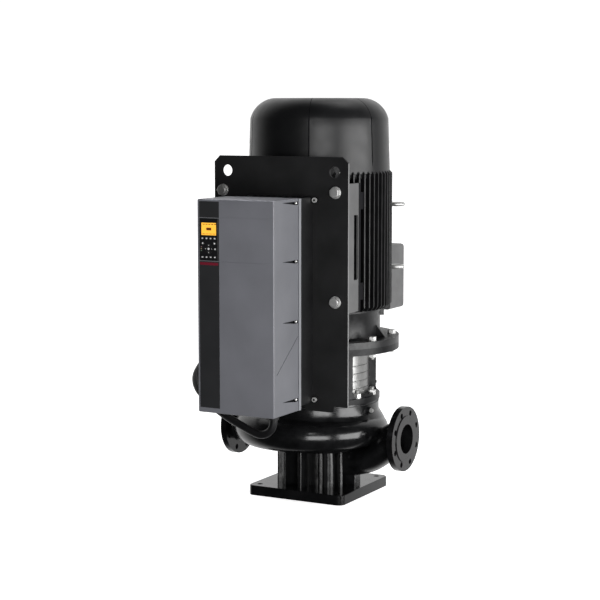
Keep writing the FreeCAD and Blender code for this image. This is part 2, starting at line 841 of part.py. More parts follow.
def drive_end_shield():
    """Bell-shaped flange shield that carries the drive-end bearing and the whole motor."""
    top = stool_top + motor_flange_thickness
    seat = drive_bearing_z
    low = stool_top - motor_spigot_height
    seat_top = seat + bearing_width
    body = revolve([(motor_shaft_r + 8, low), (motor_spigot_r, low), (motor_spigot_r, stool_top),
                    (motor_flange_r, stool_top), (motor_flange_r, top),
                    (shield_neck_r + 5, top), (shield_neck_r, top + 6), (shield_neck_r, shield_top - 10),
                    (shield_neck_r + 4, shield_top - 3), (shield_neck_r + 4, shield_top),
                    (frame_bore_r - 10, shield_top), (frame_bore_r - 10, top + 12),
                    (bearing_outer_r + 16, top + 12), (bearing_outer_r + 16, seat_top),
                    (bearing_outer_r, seat_top), (bearing_outer_r, seat), (motor_shaft_r + 8, seat)])
    corner = V(shield_neck_r - 4, -4, top - 1)
    outline = [corner, V(shield_neck_r + 34, -4, top - 1), V(shield_neck_r - 4, -4, top + 46), corner]
    gusset = Part.Face(Part.makePolygon(outline)).extrude(V(0, 8, 0))
    lug = box(shield_neck_r - 4, shield_neck_r + 13, -7, 7, shield_top - 26, shield_top)
    gussets = around(gusset, 4, motor_flange_first_angle + 67.5)
    body = fused([body] + gussets + [turned(lug, 27)])
    return cut_all(body, [cylinder(9, stool_top - 1, top + 1, p.x, p.y) for p in motor_flange_places()])


def fin_profile(z, tip_r):
    """Outline of the frame across the axis: the wall with its radial cooling fins."""
    points = []
    for i in range(fin_count):
        middle = i * 360.0 / fin_count
        root = math.degrees(fin_root_width / 2 / frame_wall_r)
        tip = math.degrees(fin_tip_width / 2 / fin_tip_r)
        points += [polar(frame_wall_r, middle - root, z), polar(tip_r, middle - tip, z),
                   polar(tip_r, middle + tip, z), polar(frame_wall_r, middle + root, z)]
    return Part.Wire(Part.makePolygon(points + points[:1]))


def stator_frame():
    """Finned motor housing with pads for the brackets, the terminal box and the lifting eyes."""
    low = shield_top + 6
    high = frame_top - 6
    c = fin_end_chamfer
    fins = Part.makeLoft([fin_profile(low, fin_tip_r - c), fin_profile(low + c, fin_tip_r),
                          fin_profile(high - c, fin_tip_r), fin_profile(high, fin_tip_r - c)], True, True)
    parts = [fins, cylinder(frame_wall_r + 2, shield_top, low + 1),
             cylinder(frame_wall_r + 2, high - 1, frame_top)]
    for sign in (1, -1):
        for z in bracket_screw_heights():
            x0, x1 = sorted((sign * 150, sign * (bracket_outer_x - 12)))
            parts.append(box(x0, x1, bracket_back, -110, z - 28, z + 28))
    parts.append(box(-80, 80, frame_wall_r - 20, box_back, box_bottom + 38, box_bottom + box_height - 28))
    for angle in eye_angles:
        for height in eye_heights:
            parts.append(rod(19, polar(frame_wall_r - 4, angle, shield_top + height),
                             polar(fin_tip_r + 1, angle, shield_top + height)))
    body = fused(parts)
    tools = [cylinder(frame_bore_r, shield_top - 1, frame_top + 1),
             rod(22, V(0, frame_bore_r - 20, box_bottom + 110), V(0, box_back + 1, box_bottom + 110))]
    for sign in (1, -1):
        for z in bracket_screw_heights():
            x = sign * plate_bolt_x
            tools.append(rod(6, V(x, bracket_back - 1, z), V(x, bracket_back + 24, z)))
    for angle in eye_angles:
        for height in eye_heights:
            tools.append(rod(8, polar(fin_tip_r - 20, angle, shield_top + height),
                             polar(fin_tip_r + 2, angle, shield_top + height)))
    return cut_all(body, tools)


def bracket_screw_heights():
    return bracket_bottom + 60, bracket_top - 60


def stator_core():
    low = shield_top + core_start
    return ring(stator_bore_r, frame_bore_r, low, low + core_length)


def stator_windings():
    """Two end windings, one on each face of the stator core."""
    low = shield_top + core_start
    high = low + core_length
    inner, outer = stator_bore_r + 8, frame_bore_r - 16
    crown, shoulder = winding_overhang, winding_overhang - 10
    lower = revolve([(inner, low), (inner, low - shoulder), (inner + 8, low - crown),
                     (outer - 8, low - crown), (outer, low - shoulder), (outer, low)])
    upper = revolve([(inner, high), (outer, high), (outer, high + shoulder), (outer - 8, high + crown),
                     (inner + 8, high + crown), (inner, high + shoulder)])
    return grouped([lower, upper])


def rotor_core():
    low = shield_top + core_start
    return ring(rotor_shaft_r, stator_bore_r - air_gap, low, low + core_length)


def motor_shaft():
    low = drive_bearing_z
    high = fan_bearing_z + bearing_width
    shoulder = low + bearing_width - bearing_relief
    upper_shoulder = fan_bearing_z + bearing_relief
    return revolve([(0, shaft_end), (motor_shaft_r - 2, shaft_end), (motor_shaft_r, shaft_end + 2),
                    (motor_shaft_r, low - 4), (bearing_seat_r, low - 4), (bearing_seat_r, shoulder),
                    (rotor_shaft_r, shoulder), (rotor_shaft_r, upper_shoulder),
                    (bearing_seat_r, upper_shoulder), (bearing_seat_r, high + 3), (fan_seat_r, high + 3),
                    (fan_seat_r, fan_base() + 50), (0, fan_base() + 50)])


def bearing_levels():
    return drive_bearing_z, fan_bearing_z


def bearing_outer_rings():
    """Outer rings with their grease shields, which reach down to the inner rings."""
    rings = []
    shield_r = bearing_inner_r + bearing_clearance
    for z in bearing_levels():
        top = z + bearing_width
        rings.append(revolve([(shield_r, z + 1), (66, z + 1), (66, z), (bearing_outer_r, z),
                              (bearing_outer_r, top), (66, top), (66, top - 1), (shield_r, top - 1)]))
    return grouped(rings)


def bearing_inner_rings():
    return grouped([ring(bearing_seat_r, bearing_inner_r, z + bearing_relief,
                         z + bearing_width - bearing_relief) for z in bearing_levels()])


def fan_end_shield():
    rim = cover_inner_r(fan_cover_lift) - 0.3
    seat = fan_bearing_z
    top = seat + bearing_width
    body = revolve([(frame_bore_r - fit_gap, frame_top - 10), (frame_bore_r - fit_gap, frame_top),
                    (rim, frame_top), (rim, frame_top + fan_cover_lift),
                    (frame_bore_r + 10, frame_top + fan_cover_lift), (frame_bore_r, frame_top + 17),
                    (bearing_outer_r + 20, top - 2), (bearing_outer_r + 20, top + 9),
                    (fan_seat_r + 14, top + 9), (fan_seat_r + 14, top), (bearing_outer_r, top),
                    (bearing_outer_r, seat), (bearing_outer_r + 14, seat), (bearing_outer_r + 14, seat + 16),
                    (frame_bore_r - 9, frame_top + 1), (frame_bore_r - 9, frame_top - 10)])
    z = cover_bottom() + cover_screw_lift
    inner = cover_bottom_r - cover_screw_length - fit_gap
    return cut_all(body, [rod(cover_screw_r, polar(inner, angle, z), polar(cover_bottom_r, angle, z))
                          for angle in cover_screw_angles])


def cover_bottom():
    return frame_top + 10


def cover_inner_r(height):
    share = (height - 10) / cover_crease_height
    return cover_bottom_r + (cover_crease_r - cover_bottom_r) * share - fan_cover_wall


def cover_outline(inset):
    """Outline of the fan cover from its rim over the crease and the dome to the flat top."""
    low = cover_bottom()
    crease = low + cover_crease_height
    top = low + fan_cover_height
    return (V(cover_bottom_r - inset, 0, low), V(cover_crease_r - inset, 0, crease),
            V(cover_crease_r - inset - 25, 0, crease + 0.63 * (top - inset - crease)),
            V(cover_top_r - inset * 0.4, 0, top - inset), V(0, 0, top - inset), V(0, 0, low))


def cover_solid(inset):
    a, b, m, c, d, e = cover_outline(inset)
    edges = [Part.makeLine(a, b), Part.Arc(b, m, c).toShape(), Part.makeLine(c, d), Part.makeLine(d, e),
             Part.makeLine(e, a)]
    return Part.Face(Part.Wire(edges)).revolve(V(0, 0, 0), Z_AXIS, 360)


def fan_cover():
    """Cowl over the fan with a ring grille in its top and seam grooves down its side."""
    low = cover_bottom()
    top = low + fan_cover_height
    body = cover_solid(0).cut(cover_solid(fan_cover_wall))
    tools = []
    for i in range(grille_rings):
        inner = 42 + i * 2 * grille_slot
        slot = ring(inner, inner + grille_slot, top - 2 * fan_cover_wall, top + 1)
        for web in around(box(0, 200, -4, 4, top - 20, top + 5), grille_sectors, 17):
            slot = slot.cut(web)
        tools.append(slot)
    groove = cover_solid(-1).cut(cover_solid(1.0)).common(box(60, 260, -0.9, 0.9, low + 27, top + 5))
    groove = groove.cut(cylinder(cover_top_r - 12, top - 40, top + 5))
    for bearing in seam_bearings:
        tools += around(groove, 3, bearing)
    z = low + cover_screw_lift
    for angle in cover_screw_angles:
        tools.append(rod(cover_screw_r, polar(cover_bottom_r - 12, angle, z),
                         polar(cover_bottom_r + 5, angle, z)))
    return cut_all(body, tools)


def fan_cover_screws():
    z = cover_bottom() + cover_screw_lift
    screws = []
    seat = cover_bottom_r
    for angle in cover_screw_angles:
        shank = rod(cover_screw_r, polar(seat - cover_screw_length, angle, z), polar(seat, angle, z))
        head = rod(2 * cover_screw_r, polar(seat, angle, z), polar(seat + 3.5, angle, z))
        screws.append(fused([shank, head]))
    return screws


def fan_base():
    return fan_bearing_z + bearing_width + 34


def cooling_fan():
    """Radial fan that blows in either direction of rotation, pressed on the shaft end."""
    low = fan_base()
    hub = revolve([(fan_seat_r, low), (fan_r - 50, low), (fan_r - 50, low + 4), (60, low + 6), (48, low + 12),
                   (46, low + 44), (fan_seat_r, low + 44)])
    profile = [V(44, -2, low + 2), V(fan_r, -2, low + 2), V(fan_r, -2, low + 44), V(90, -2, low + 56),
               V(44, -2, low + 40)]
    fin = Part.Face(Part.makePolygon(profile + profile[:1])).extrude(V(0, 4, 0))
    return fused([hub] + around(fin, fan_blades, 10))


def lifting_eyes():
    eyes = []
    for angle in eye_angles:
        for height in eye_heights:
            z = shield_top + height
            seat = fin_tip_r + 1
            shank = rod(8, V(seat - 20, 0, z), V(seat, 0, z))
            collar = rod(15, V(seat, 0, z), V(seat + 6, 0, z))
            centre = seat + 4 + eye_ring_r + eye_wire_r
            eye = Part.makeTorus(eye_ring_r, eye_wire_r, V(centre, 0, z), Z_AXIS)
            eyes.append(turned(fused([shank, collar, eye]), angle))
    return grouped(eyes)


def terminal_box():
    """Cast box on the motor's back, open towards its lid."""
    w, low, high = box_half_width, box_bottom, box_bottom + box_height
    front = box_back + box_depth
    body = rounded_box(-w, w, box_back, front, low, high, 12, "y")
    cavity = rounded_box(-w + box_wall, w - box_wall, box_back + box_wall, front + 1, low + box_wall,
                         high - box_wall, 8, "y")
    corners = [rod(9, V(sx * (w - 12), box_back + box_wall, z), V(sx * (w - 12), front, z))
               for sx in (1, -1) for z in (low + 12, high - 12)]
    body = fused([body.cut(cavity)] + corners)
    tools = [rod(22, V(0, box_back - 1, low + 110), V(0, box_back + box_wall + 1, low + 110)),
             cylinder(cable_r + 2, low - 1, low + box_wall + 1, box_gland_x, box_gland_y())]
    tools += [rod(3, V(sx * (w - 12), front - 18, z), V(sx * (w - 12), front + 1, z))
              for sx in (1, -1) for z in (low + 12, high - 12)]
    return cut_all(body, tools)


def box_gland_y():
    return box_back + box_depth * 0.6


def terminal_box_lid():
    w, low, high = box_half_width, box_bottom, box_bottom + box_height
    front = box_back + box_depth
    body = rounded_box(-w, w, front, front + box_lid_depth, low, high, 12, "y")
    outer_edges = [e for e in body.Edges if e.BoundBox.YMin > front + box_lid_depth - 0.01]
    body = body.makeChamfer(9, outer_edges)
    cavity = rounded_box(-w + 22, w - 22, front - 1, front + box_lid_depth - box_wall, low + 22, high - 22,
                         8, "y")
    tools = [cavity]
    tools += [rod(3.2, V(sx * (w - 12), front - 1, z), V(sx * (w - 12), front + box_lid_depth + 1, z))
              for sx in (1, -1) for z in (low + 12, high - 12)]
    tools += [rod(7, V(sx * (w - 12), front + 8, z), V(sx * (w - 12), front + box_lid_depth + 1, z))
              for sx in (1, -1) for z in (low + 12, high - 12)]
    return cut_all(body, tools)


def lid_screws():
    w, low, high = box_half_width, box_bottom, box_bottom + box_height
    front = box_back + box_depth
    return [fused([rod(3, V(sx * (w - 12), front - 16, z), V(sx * (w - 12), front + 8, z)),
                   rod(5.5, V(sx * (w - 12), front + 8, z), V(sx * (w - 12), front + 14, z))])
            for sx in (1, -1) for z in (low + 12, high - 12)]


def mounting_plate():
    left, right = plate_centre_x - plate_half_width, plate_centre_x + plate_half_width
    c = plate_chamfer
    outline = [V(left, plate_front, plate_bottom), V(right, plate_front, plate_bottom),
               V(right, plate_front, plate_top - c), V(right - c, plate_front, plate_top),
               V(left + c, plate_front, plate_top), V(left, plate_front, plate_top - c)]
    plate = Part.Face(Part.makePolygon(outline + outline[:1])).extrude(V(0, plate_thickness, 0))
    tab = rounded_box(100, 205, plate_front, plate_back, plate_bottom - 20, plate_bottom + 20, 8, "y")
    plate = plate.fuse(tab).removeSplitter()
    tools = [rod(lift_hole_r, p, p + V(0, plate_thickness + 2, 0)) for p in lift_hole_places()]
    for sign in (1, -1):
        for z in plate_bolt_heights:
            start = V(sign * plate_bolt_x, plate_front - 1, z)
            tools.append(rod(plate_bolt_r + 1, start, start + V(0, plate_thickness + 2, 0)))
    for x, z in ear_places():
        tools.append(rod(4, V(x, plate_front - 1, z), V(x, plate_back + 1, z)))
    return cut_all(plate, tools)


def lift_hole_places():
    z = plate_top - lift_hole_drop
    return [V(plate_centre_x + sign * lift_hole_spacing / 2, plate_front - 1, z) for sign in (1, -1)]


def ear_places():
    return [(drive_centre_x + sign * ear_x, z) for sign in (1, -1)
            for z in (drive_bottom + 14, drive_top - 12)]


def mounting_brackets():
    """Channel brackets between the plate and the pads on the motor frame, each with a long slot."""
    t = bracket_sheet
    outer = bracket_outer_x
    web = box(outer - t, outer, plate_back, bracket_back, bracket_bottom, bracket_top)
    front = box(outer - 48, outer, plate_back, plate_back + t, bracket_bottom, bracket_top)
    rear = box(outer - 38, outer, bracket_back - t, bracket_back, bracket_bottom, bracket_top)
    body = fused([web, front, rear])
    middle = (plate_bolt_heights[0] + plate_bolt_heights[1]) / 2 - 5
    slot = rounded_box(outer - t - 1, outer + 1, bracket_slot_y - bracket_slot_width / 2,
                       bracket_slot_y + bracket_slot_width / 2, middle - bracket_slot_length / 2,
                       middle + bracket_slot_length / 2, bracket_slot_width / 2 - 0.1, "x")
    tools = [slot]
    for z in plate_bolt_heights:
        tools.append(rod(plate_bolt_r + 1, V(plate_bolt_x, plate_back - 1, z),
                         V(plate_bolt_x, plate_back + t + 1, z)))
    for z in bracket_screw_heights():
        tools.append(rod(6.5, V(plate_bolt_x, bracket_back - t - 1, z), V(plate_bolt_x, bracket_back + 1, z)))
    right = cut_all(body, tools)
    return grouped([right, mirrored(right)])


def mounting_bolts():
    """Plate bolts with nuts behind the bracket flange, and the screws that hold the brackets to the motor."""
    pieces = []
    inner = plate_back + bracket_sheet
    for sign in (1, -1):
        for z in plate_bolt_heights:
            x = sign * plate_bolt_x
            shank = bolt(plate_bolt_r, plate_bolt_flats, 12.5, plate_washer_r, V(x, plate_front, z),
                         V(x, inner + 20, z))
            nut = hexagon(plate_bolt_flats, V(x, inner, z), V(x, inner + 16, z)).cut(shank)
            pieces += [shank, nut]
        for z in bracket_screw_heights():
            x = sign * plate_bolt_x
            pieces.append(bolt(6, 18, 8, 12, V(x, bracket_back - bracket_sheet, z),
                               V(x, bracket_back + 22, z)))
    return grouped(pieces)


def converter_heat_sink():
    """Rear casting of the converter: vertical air channels between fins, and four mounting ears."""
    left, right = drive_centre_x - sink_half_width, drive_centre_x + sink_half_width
    low, high = drive_bottom + 4, drive_top - 3
    body = box(left, right, drive_rear, plate_front, low, high)
    tools = []
    pitch = (2 * sink_half_width - 12) / sink_slots
    for i in range(sink_slots):
        x = left + 6 + pitch * (i + 0.5)
        tools.append(box(x - sink_slot_width / 2, x + sink_slot_width / 2, drive_rear + 34, plate_front - 6,
                         low - 1, high + 1))
    body = cut_all(body, tools)
    ears = []
    for x, z in ear_places():
        ears.append(box(min(x, drive_centre_x), max(x, drive_centre_x), plate_front - 6, plate_front,
                        z - ear_size / 2, z + ear_size / 2).fuse(
                            rod(ear_size / 2, V(x, plate_front - 6, z), V(x, plate_front, z))))
    body = fused([body] + ears)
    clear = [box(left + 6, right - 6, plate_front - 92, plate_front - 6, low - 30, low),
             box(left + 6, right - 6, plate_front - 92, plate_front - 6, high, high + 30)]
    return cut_all(body, clear + [rod(4, V(x, plate_front - 7, z), V(x, plate_front + 1, z))
                                  for x, z in ear_places()])


def side_recesses():
    """Wedge recesses in both sides of the housing; each runs in to the head of a clamping screw."""
    tools = []
    for sign in (1, -1):
        side = drive_centre_x + sign * drive_half_width
        for z in clip_heights:
            y1 = drive_rear - 20
            y0 = y1 - clip_length
            points = [V(side + sign, y0, z), V(side + sign, y1, z), V(side - sign * clip_depth, y1, z),
                      V(side, y0, z)]
            wedge = Part.Face(Part.makePolygon(points + points[:1])).extrude(V(0, 0, clip_height))
            tools.append(wedge)
    return tools


def converter_housing():
    """Main shell of the converter behind its front cover, with the clamping recesses in its sides."""
    left, right = drive_centre_x - drive_half_width, drive_centre_x + drive_half_width
    front = drive_front + drive_cover_thickness
    body = rounded_box(left, right, front, drive_rear, drive_bottom, drive_top, drive_corner_r, "y")
    cavity = box(left + drive_wall, right - drive_wall, front - 1, drive_rear - 8, drive_bottom + 8,
                 drive_top - 8)
    tools = [cavity] + side_recesses()
    tools.append(cylinder(cable_r + 2, drive_bottom - 1, drive_bottom + 14, drive_gland_x, drive_gland_y))
    for sign in (1, -1):
        side = drive_centre_x + sign * drive_half_width
        x0, x1 = sorted((side - sign * 1.2, side + sign * 2))
        seam = box(x0, x1, 0, 195, -0.8, 0.8)
        seam.rotate(V(0, 0, 0), V(1, 0, 0), 38)
        seam.translate(V(0, front, drive_bottom + 134))
        tools.append(seam)
        for z in clip_heights:
            y = drive_rear - 20
            x = side - sign * 7
            level = z + clip_height / 2
            tools.append(rod(2.5, V(x, y - 1, level), V(x, drive_rear + 1, level)))
    return cut_all(body, tools)


def converter_screws():
    """Clamping screws in the side recesses and the screws through the mounting ears."""
    pieces = []
    for sign in (1, -1):
        x = drive_centre_x + sign * drive_half_width - sign * 7
        for z in clip_heights:
            y = drive_rear - 20
            level = z + clip_height / 2
            pieces.append(fused([rod(2.5, V(x, y, level), V(x, drive_rear, level)),
                                 rod(4.2, V(x, y - 4, level), V(x, y, level))]))
    for x, z in ear_places():
        pieces.append(fused([rod(4, V(x, plate_front - 6, z), V(x, plate_back + 3, z)),
                             rod(8, V(x, plate_front - 12, z), V(x, plate_front - 6, z))]))
    return grouped(pieces)


def converter_front_cover():
    """Front cover with a long pocket for the control strip and shallow seams between its panels."""
    left, right = drive_centre_x - drive_half_width, drive_centre_x + drive_half_width
    back = drive_front + drive_cover_thickness
    body = rounded_box(left, right, drive_front, back, drive_bottom, drive_top, drive_corner_r, "y")
    rim = [e for e in body.Edges if e.BoundBox.YMax < drive_front + 0.01]
    body = body.makeFillet(3, rim)
    tools = [box(strip_left, strip_right, drive_front - 1, pocket_floor, strip_bottom, strip_top)]
    for z in (panel_bottom - 1.5, panel_top + 4):
        tools.append(box(strip_right + 4, right + 1, drive_front - 1, drive_front + 1, z - 0.7, z + 0.7))
    tools.append(box(left + 14, right - 14, pocket_floor + 4, back + 1, drive_bottom + 14, drive_top - 14))
    return cut_all(body, tools)


def control_strip():
    """Dark strip inlaid in the front cover, open where the control panel sits, with a raised band."""
    front = drive_front - strip_proud
    body = box(strip_left, strip_right, front, pocket_floor, strip_bottom, strip_top)
    gap = fit_gap
    opening = box(panel_left - gap, panel_right + gap, front - 1, pocket_floor + 1, panel_bottom - gap,
                  panel_top + gap)
    lines = [box(strip_left - 1, strip_right + 1, front - 1, front + 0.5, z - 0.5, z + 0.5)
             for z in (band_bottom, band_top, panel_top + 3)]
    return cut_all(body, [opening] + lines)


def key_table():
    """Every key of the control panel: name, centre, width, height and corner radius."""
    middle = (panel_left + panel_right) / 2
    keys = []
    for i, name in enumerate(("status", "quick_menu", "main_menu", "alarm_log")):
        keys.append((name, middle - 22.5 + 15 * i, 916.0, 11.5, 7.0, 1.2))
    keys.append(("back", middle - 21.5, 900.5, 12.0, 9.0, 3.0))
    keys.append(("cancel", middle + 21.5, 900.5, 12.0, 9.0, 3.0))
    keys.append(("info", middle + 24.0, 883.0, 9.0, 9.0, 3.5))
    keys.append(("arrow_ring", middle, 883.0, 29.0, 29.0, 14.0))
    keys.append(("ok", middle, 883.0, 11.0, 11.0, 5.3))
    for i, name in enumerate(("hand_on", "off", "auto_on", "reset")):
        keys.append((name, middle - 22.5 + 15 * i, 857.0, 11.5, 7.5, 1.2))
    return keys


def key_cap(x, z, width, height, radius, y0, y1, extra=0.0):
    return rounded_box(x - width / 2 - extra, x + width / 2 + extra, y0, y1, z - height / 2 - extra,
                       z + height / 2 + extra, radius + extra, "y")


def control_panel():
    """Shell of the control panel: front wall with openings for the display and the keys."""
    front = drive_front - panel_proud
    body = rounded_box(panel_left, panel_right, front, pocket_floor, panel_bottom, panel_top, 4, "y")
    rim = [e for e in body.Edges if e.BoundBox.YMax < front + 0.01]
    body = body.makeFillet(1.2, rim)
    cavity = box(panel_left + 3, panel_right - 3, front + panel_wall, pocket_floor + 1, panel_bottom + 3,
                 panel_top - 3)
    behind = front + panel_wall + 1
    tools = [cavity, box(display_left, display_right, front - 1, behind, display_bottom, display_top)]
    for name, x, z, width, height, radius in key_table():
        if name != "ok":
            tools.append(key_cap(x, z, width, height, radius, front - 1, behind, key_clearance))
    tools += [rod(1.6, V(panel_left + 6, front - 1, z), V(panel_left + 6, behind, z)) for z in lens_heights]
    return cut_all(body, tools)


def display_window():
    front = drive_front - panel_proud
    glass = box(display_left, display_right, front + 0.4, front + panel_wall, display_bottom, display_top)
    flange = box(display_left - 2, display_right + 2, front + panel_wall, front + panel_wall + 2,
                 display_bottom - 2, display_top + 2)
    return grouped([glass.fuse(flange).removeSplitter()] + indicator_lights())


def indicator_lights():
    front = drive_front - panel_proud
    lights = []
    back = front + panel_wall
    for z in lens_heights:
        lens = rod(1.6, V(panel_left + 6, front - 0.5, z), V(panel_left + 6, back, z))
        foot_disc = rod(2.4, V(panel_left + 6, back, z), V(panel_left + 6, back + 1.5, z))
        lights.append(lens.fuse(foot_disc).removeSplitter())
    return lights


def key_piece(name, x, z, width, height, radius):
    """One key: a cap that stands proud of the panel and a flange that keeps it from falling out."""
    front = drive_front - panel_proud
    behind = front + panel_wall + key_clearance
    cap = key_cap(x, z, width, height, radius, front - key_proud, behind)
    lip = key_cap(x, z, width, height, radius, behind, behind + 1.5, 0 if name == "ok" else 1.0)
    body = cap.fuse(lip).removeSplitter()
    if name == "arrow_ring":
        hole = key_cap(x, z, 11.0, 11.0, 5.3, front - 5, behind + 5, key_clearance)
        body = body.cut(hole)
    return body


def gland(x, y, seat, direction):
    """Cable gland: hexagon body and domed nut, with a step inside that the cable ends on."""
    up = Z_AXIS * direction
    base = V(x, y, seat)
    tip = base - up * gland_length
    body = hexagon(2 * gland_r, base - up * 12, base)
    body = body.fuse(rod(gland_r - 1.5, base - up * 24, base - up * 12))
    body = body.fuse(Part.makeCone(gland_r - 1.5, gland_r - 4, 12, base - up * 24, -up))
    body = body.fuse(rod(cable_r + 1.8, base, base + up * 12))
    return body.removeSplitter().cut(rod(cable_r - 2, tip - up, base + up * 13)).cut(
        rod(cable_r + 0.3, tip - up, base - up * (gland_length - 8)))


def cable_glands():
    return grouped([gland(drive_gland_x, drive_gland_y, drive_bottom, 1),
                    gland(box_gland_x, box_gland_y(), box_bottom, 1)])


def cable_route():
    """Points of the motor cable from the converter's gland round the motor to the terminal box."""
    start = drive_bottom - gland_length + 8
    end = box_bottom - gland_length + 8
    return [V(drive_gland_x, drive_gland_y, start), V(drive_gland_x, drive_gland_y, start - 29),
            V(43, -430, 278), V(12, -430, 268), V(-20, -428, 278), V(-60, -423, 292), V(-104, -414, 306),
            V(-148, -402, 322), V(-192, -388, 341), V(-238, -368, 363), V(-284, -340, 388),
            V(-318, -298, 416), V(-332, -242, 445), V(-334, -178, 470), V(-327, -110, 490),
            V(-317, -40, 502), V(-309, 32, 505),
            V(-297, 102, 495), V(-272, 166, 477), V(-235, 220, 461), V(-186, 262, 452), V(-132, 287, 466),
            V(-86, box_gland_y() - 3, 496), V(box_gland_x, box_gland_y(), 545),
            V(box_gland_x, box_gland_y(), end)]


def motor_cable():
    """Round cable along straight runs that are joined by tangent arcs."""
    points = cable_route()
    edges = []
    last = points[0]
    for before, corner, after in zip(points, points[1:], points[2:]):
        inward = (before - corner).normalize()
        outward = (after - corner).normalize()
        turn = math.pi - inward.getAngle(outward)
        setback = 0.45 * min((before - corner).Length, (after - corner).Length)
        radius = setback / math.tan(turn / 2)
        a = corner + inward * setback
        b = corner + outward * setback
        bisector = (inward + outward).normalize()
        centre_distance = math.hypot(radius, setback)
        middle = corner + bisector * (centre_distance - radius)
        edges.append(Part.LineSegment(last, a).toShape())
        edges.append(Part.Arc(a, middle, b).toShape())
        last = b
    edges.append(Part.LineSegment(last, points[-1]).toShape())
    spine = Part.Wire(edges)
    start = points[0]
    section = Part.Wire(Part.Circle(start, points[1] - start, cable_r).toShape())
    print("cable length", round(spine.Length, 1))
    return spine.makePipeShell([section], True, True)


def cover_screws():
    """Screws of the coupling guards, the terminal box lid and the fan cover."""
    return grouped(guard_screws() + lid_screws() + fan_cover_screws())


def all_nodes():
    nodes = {
        "base_plate": base_plate(), "foot_bolts": foot_bolts(), "volute_housing": volute_housing(),
        "gauge_plugs": gauge_plugs(), "air_vent_screw": air_vent_screw(), "pump_cover": pump_cover(),
        "cover_gasket": cover_gasket(), "wear_ring": wear_ring(), "impeller": impeller(),
        "impeller_nut": impeller_nut(), "impeller_key": impeller_key(), "pump_shaft": pump_shaft(),
        "seal_seat": seal_seat(), "seal_rotating_ring": seal_rotating_ring(), "motor_stool": motor_stool(),
        "stool_fasteners": stool_fasteners(), "coupling_halves": coupling_halves(),
        "coupling_screws": coupling_screws(), "coupling_guards": coupling_guards(),
        "cover_screws": cover_screws(), "drive_end_shield": drive_end_shield(),
        "flange_bolts": flange_bolts(), "stator_frame": stator_frame(),
        "stator_core": stator_core(), "stator_windings": stator_windings(),
        "rotor_core": rotor_core(), "motor_shaft": motor_shaft(),
        "bearing_outer_rings": bearing_outer_rings(), "bearing_inner_rings": bearing_inner_rings(),
        "fan_end_shield": fan_end_shield(),
        "cooling_fan": cooling_fan(), "fan_cover": fan_cover(), "lifting_eyes": lifting_eyes(),
        "terminal_box": terminal_box(), "terminal_box_lid": terminal_box_lid(),
        "mounting_plate": mounting_plate(), "mounting_brackets": mounting_brackets(),
        "mounting_bolts": mounting_bolts(), "converter_heat_sink": converter_heat_sink(),
        "converter_housing": converter_housing(), "converter_front_cover": converter_front_cover(),
        "converter_screws": converter_screws(), "control_strip": control_strip(),
        "control_panel": control_panel(), "display_window": display_window(),
        "cable_glands": cable_glands(), "motor_cable": motor_cable(),
    }
    for entry in key_table():
        nodes["key_" + entry[0]] = key_piece(*entry)
    return nodes


os.makedirs("parts", exist_ok=True)
for node_name, shape in all_nodes().items():
    if not shape.isValid():
        print("not valid", node_name)
    shape.exportStep("parts/" + node_name + ".step")
    print(node_name, len(shape.Solids), round(shape.Volume / 1000, 1), "cm3")
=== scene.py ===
import bpy
import bmesh
import json
import math
from mathutils import Matrix, Vector


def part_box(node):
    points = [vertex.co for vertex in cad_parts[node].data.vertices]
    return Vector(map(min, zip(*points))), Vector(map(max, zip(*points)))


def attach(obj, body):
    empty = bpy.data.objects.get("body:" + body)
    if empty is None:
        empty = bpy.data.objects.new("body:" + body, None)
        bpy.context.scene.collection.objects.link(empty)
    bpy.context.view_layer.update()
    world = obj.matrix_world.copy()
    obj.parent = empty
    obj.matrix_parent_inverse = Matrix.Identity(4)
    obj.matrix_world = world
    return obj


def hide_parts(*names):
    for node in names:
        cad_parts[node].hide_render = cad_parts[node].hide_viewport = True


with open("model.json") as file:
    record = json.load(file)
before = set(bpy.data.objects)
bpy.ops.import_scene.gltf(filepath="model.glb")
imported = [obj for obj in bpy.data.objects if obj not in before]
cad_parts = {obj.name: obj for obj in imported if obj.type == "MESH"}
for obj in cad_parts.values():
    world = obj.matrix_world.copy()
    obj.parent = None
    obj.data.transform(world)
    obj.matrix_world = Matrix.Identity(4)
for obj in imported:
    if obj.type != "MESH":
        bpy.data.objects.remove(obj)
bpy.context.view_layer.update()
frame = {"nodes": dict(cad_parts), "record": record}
print("frame loaded:", len(frame["nodes"]), "nodes")

# camera fitted to the photograph, image 600 x 600
cameraView = {"place": (2.6382, -5.0094, 1.3262), "down": 6.66, "turn": 28.44, "lens": 99.36, "sensor": 36.0,
              "clip": 60}

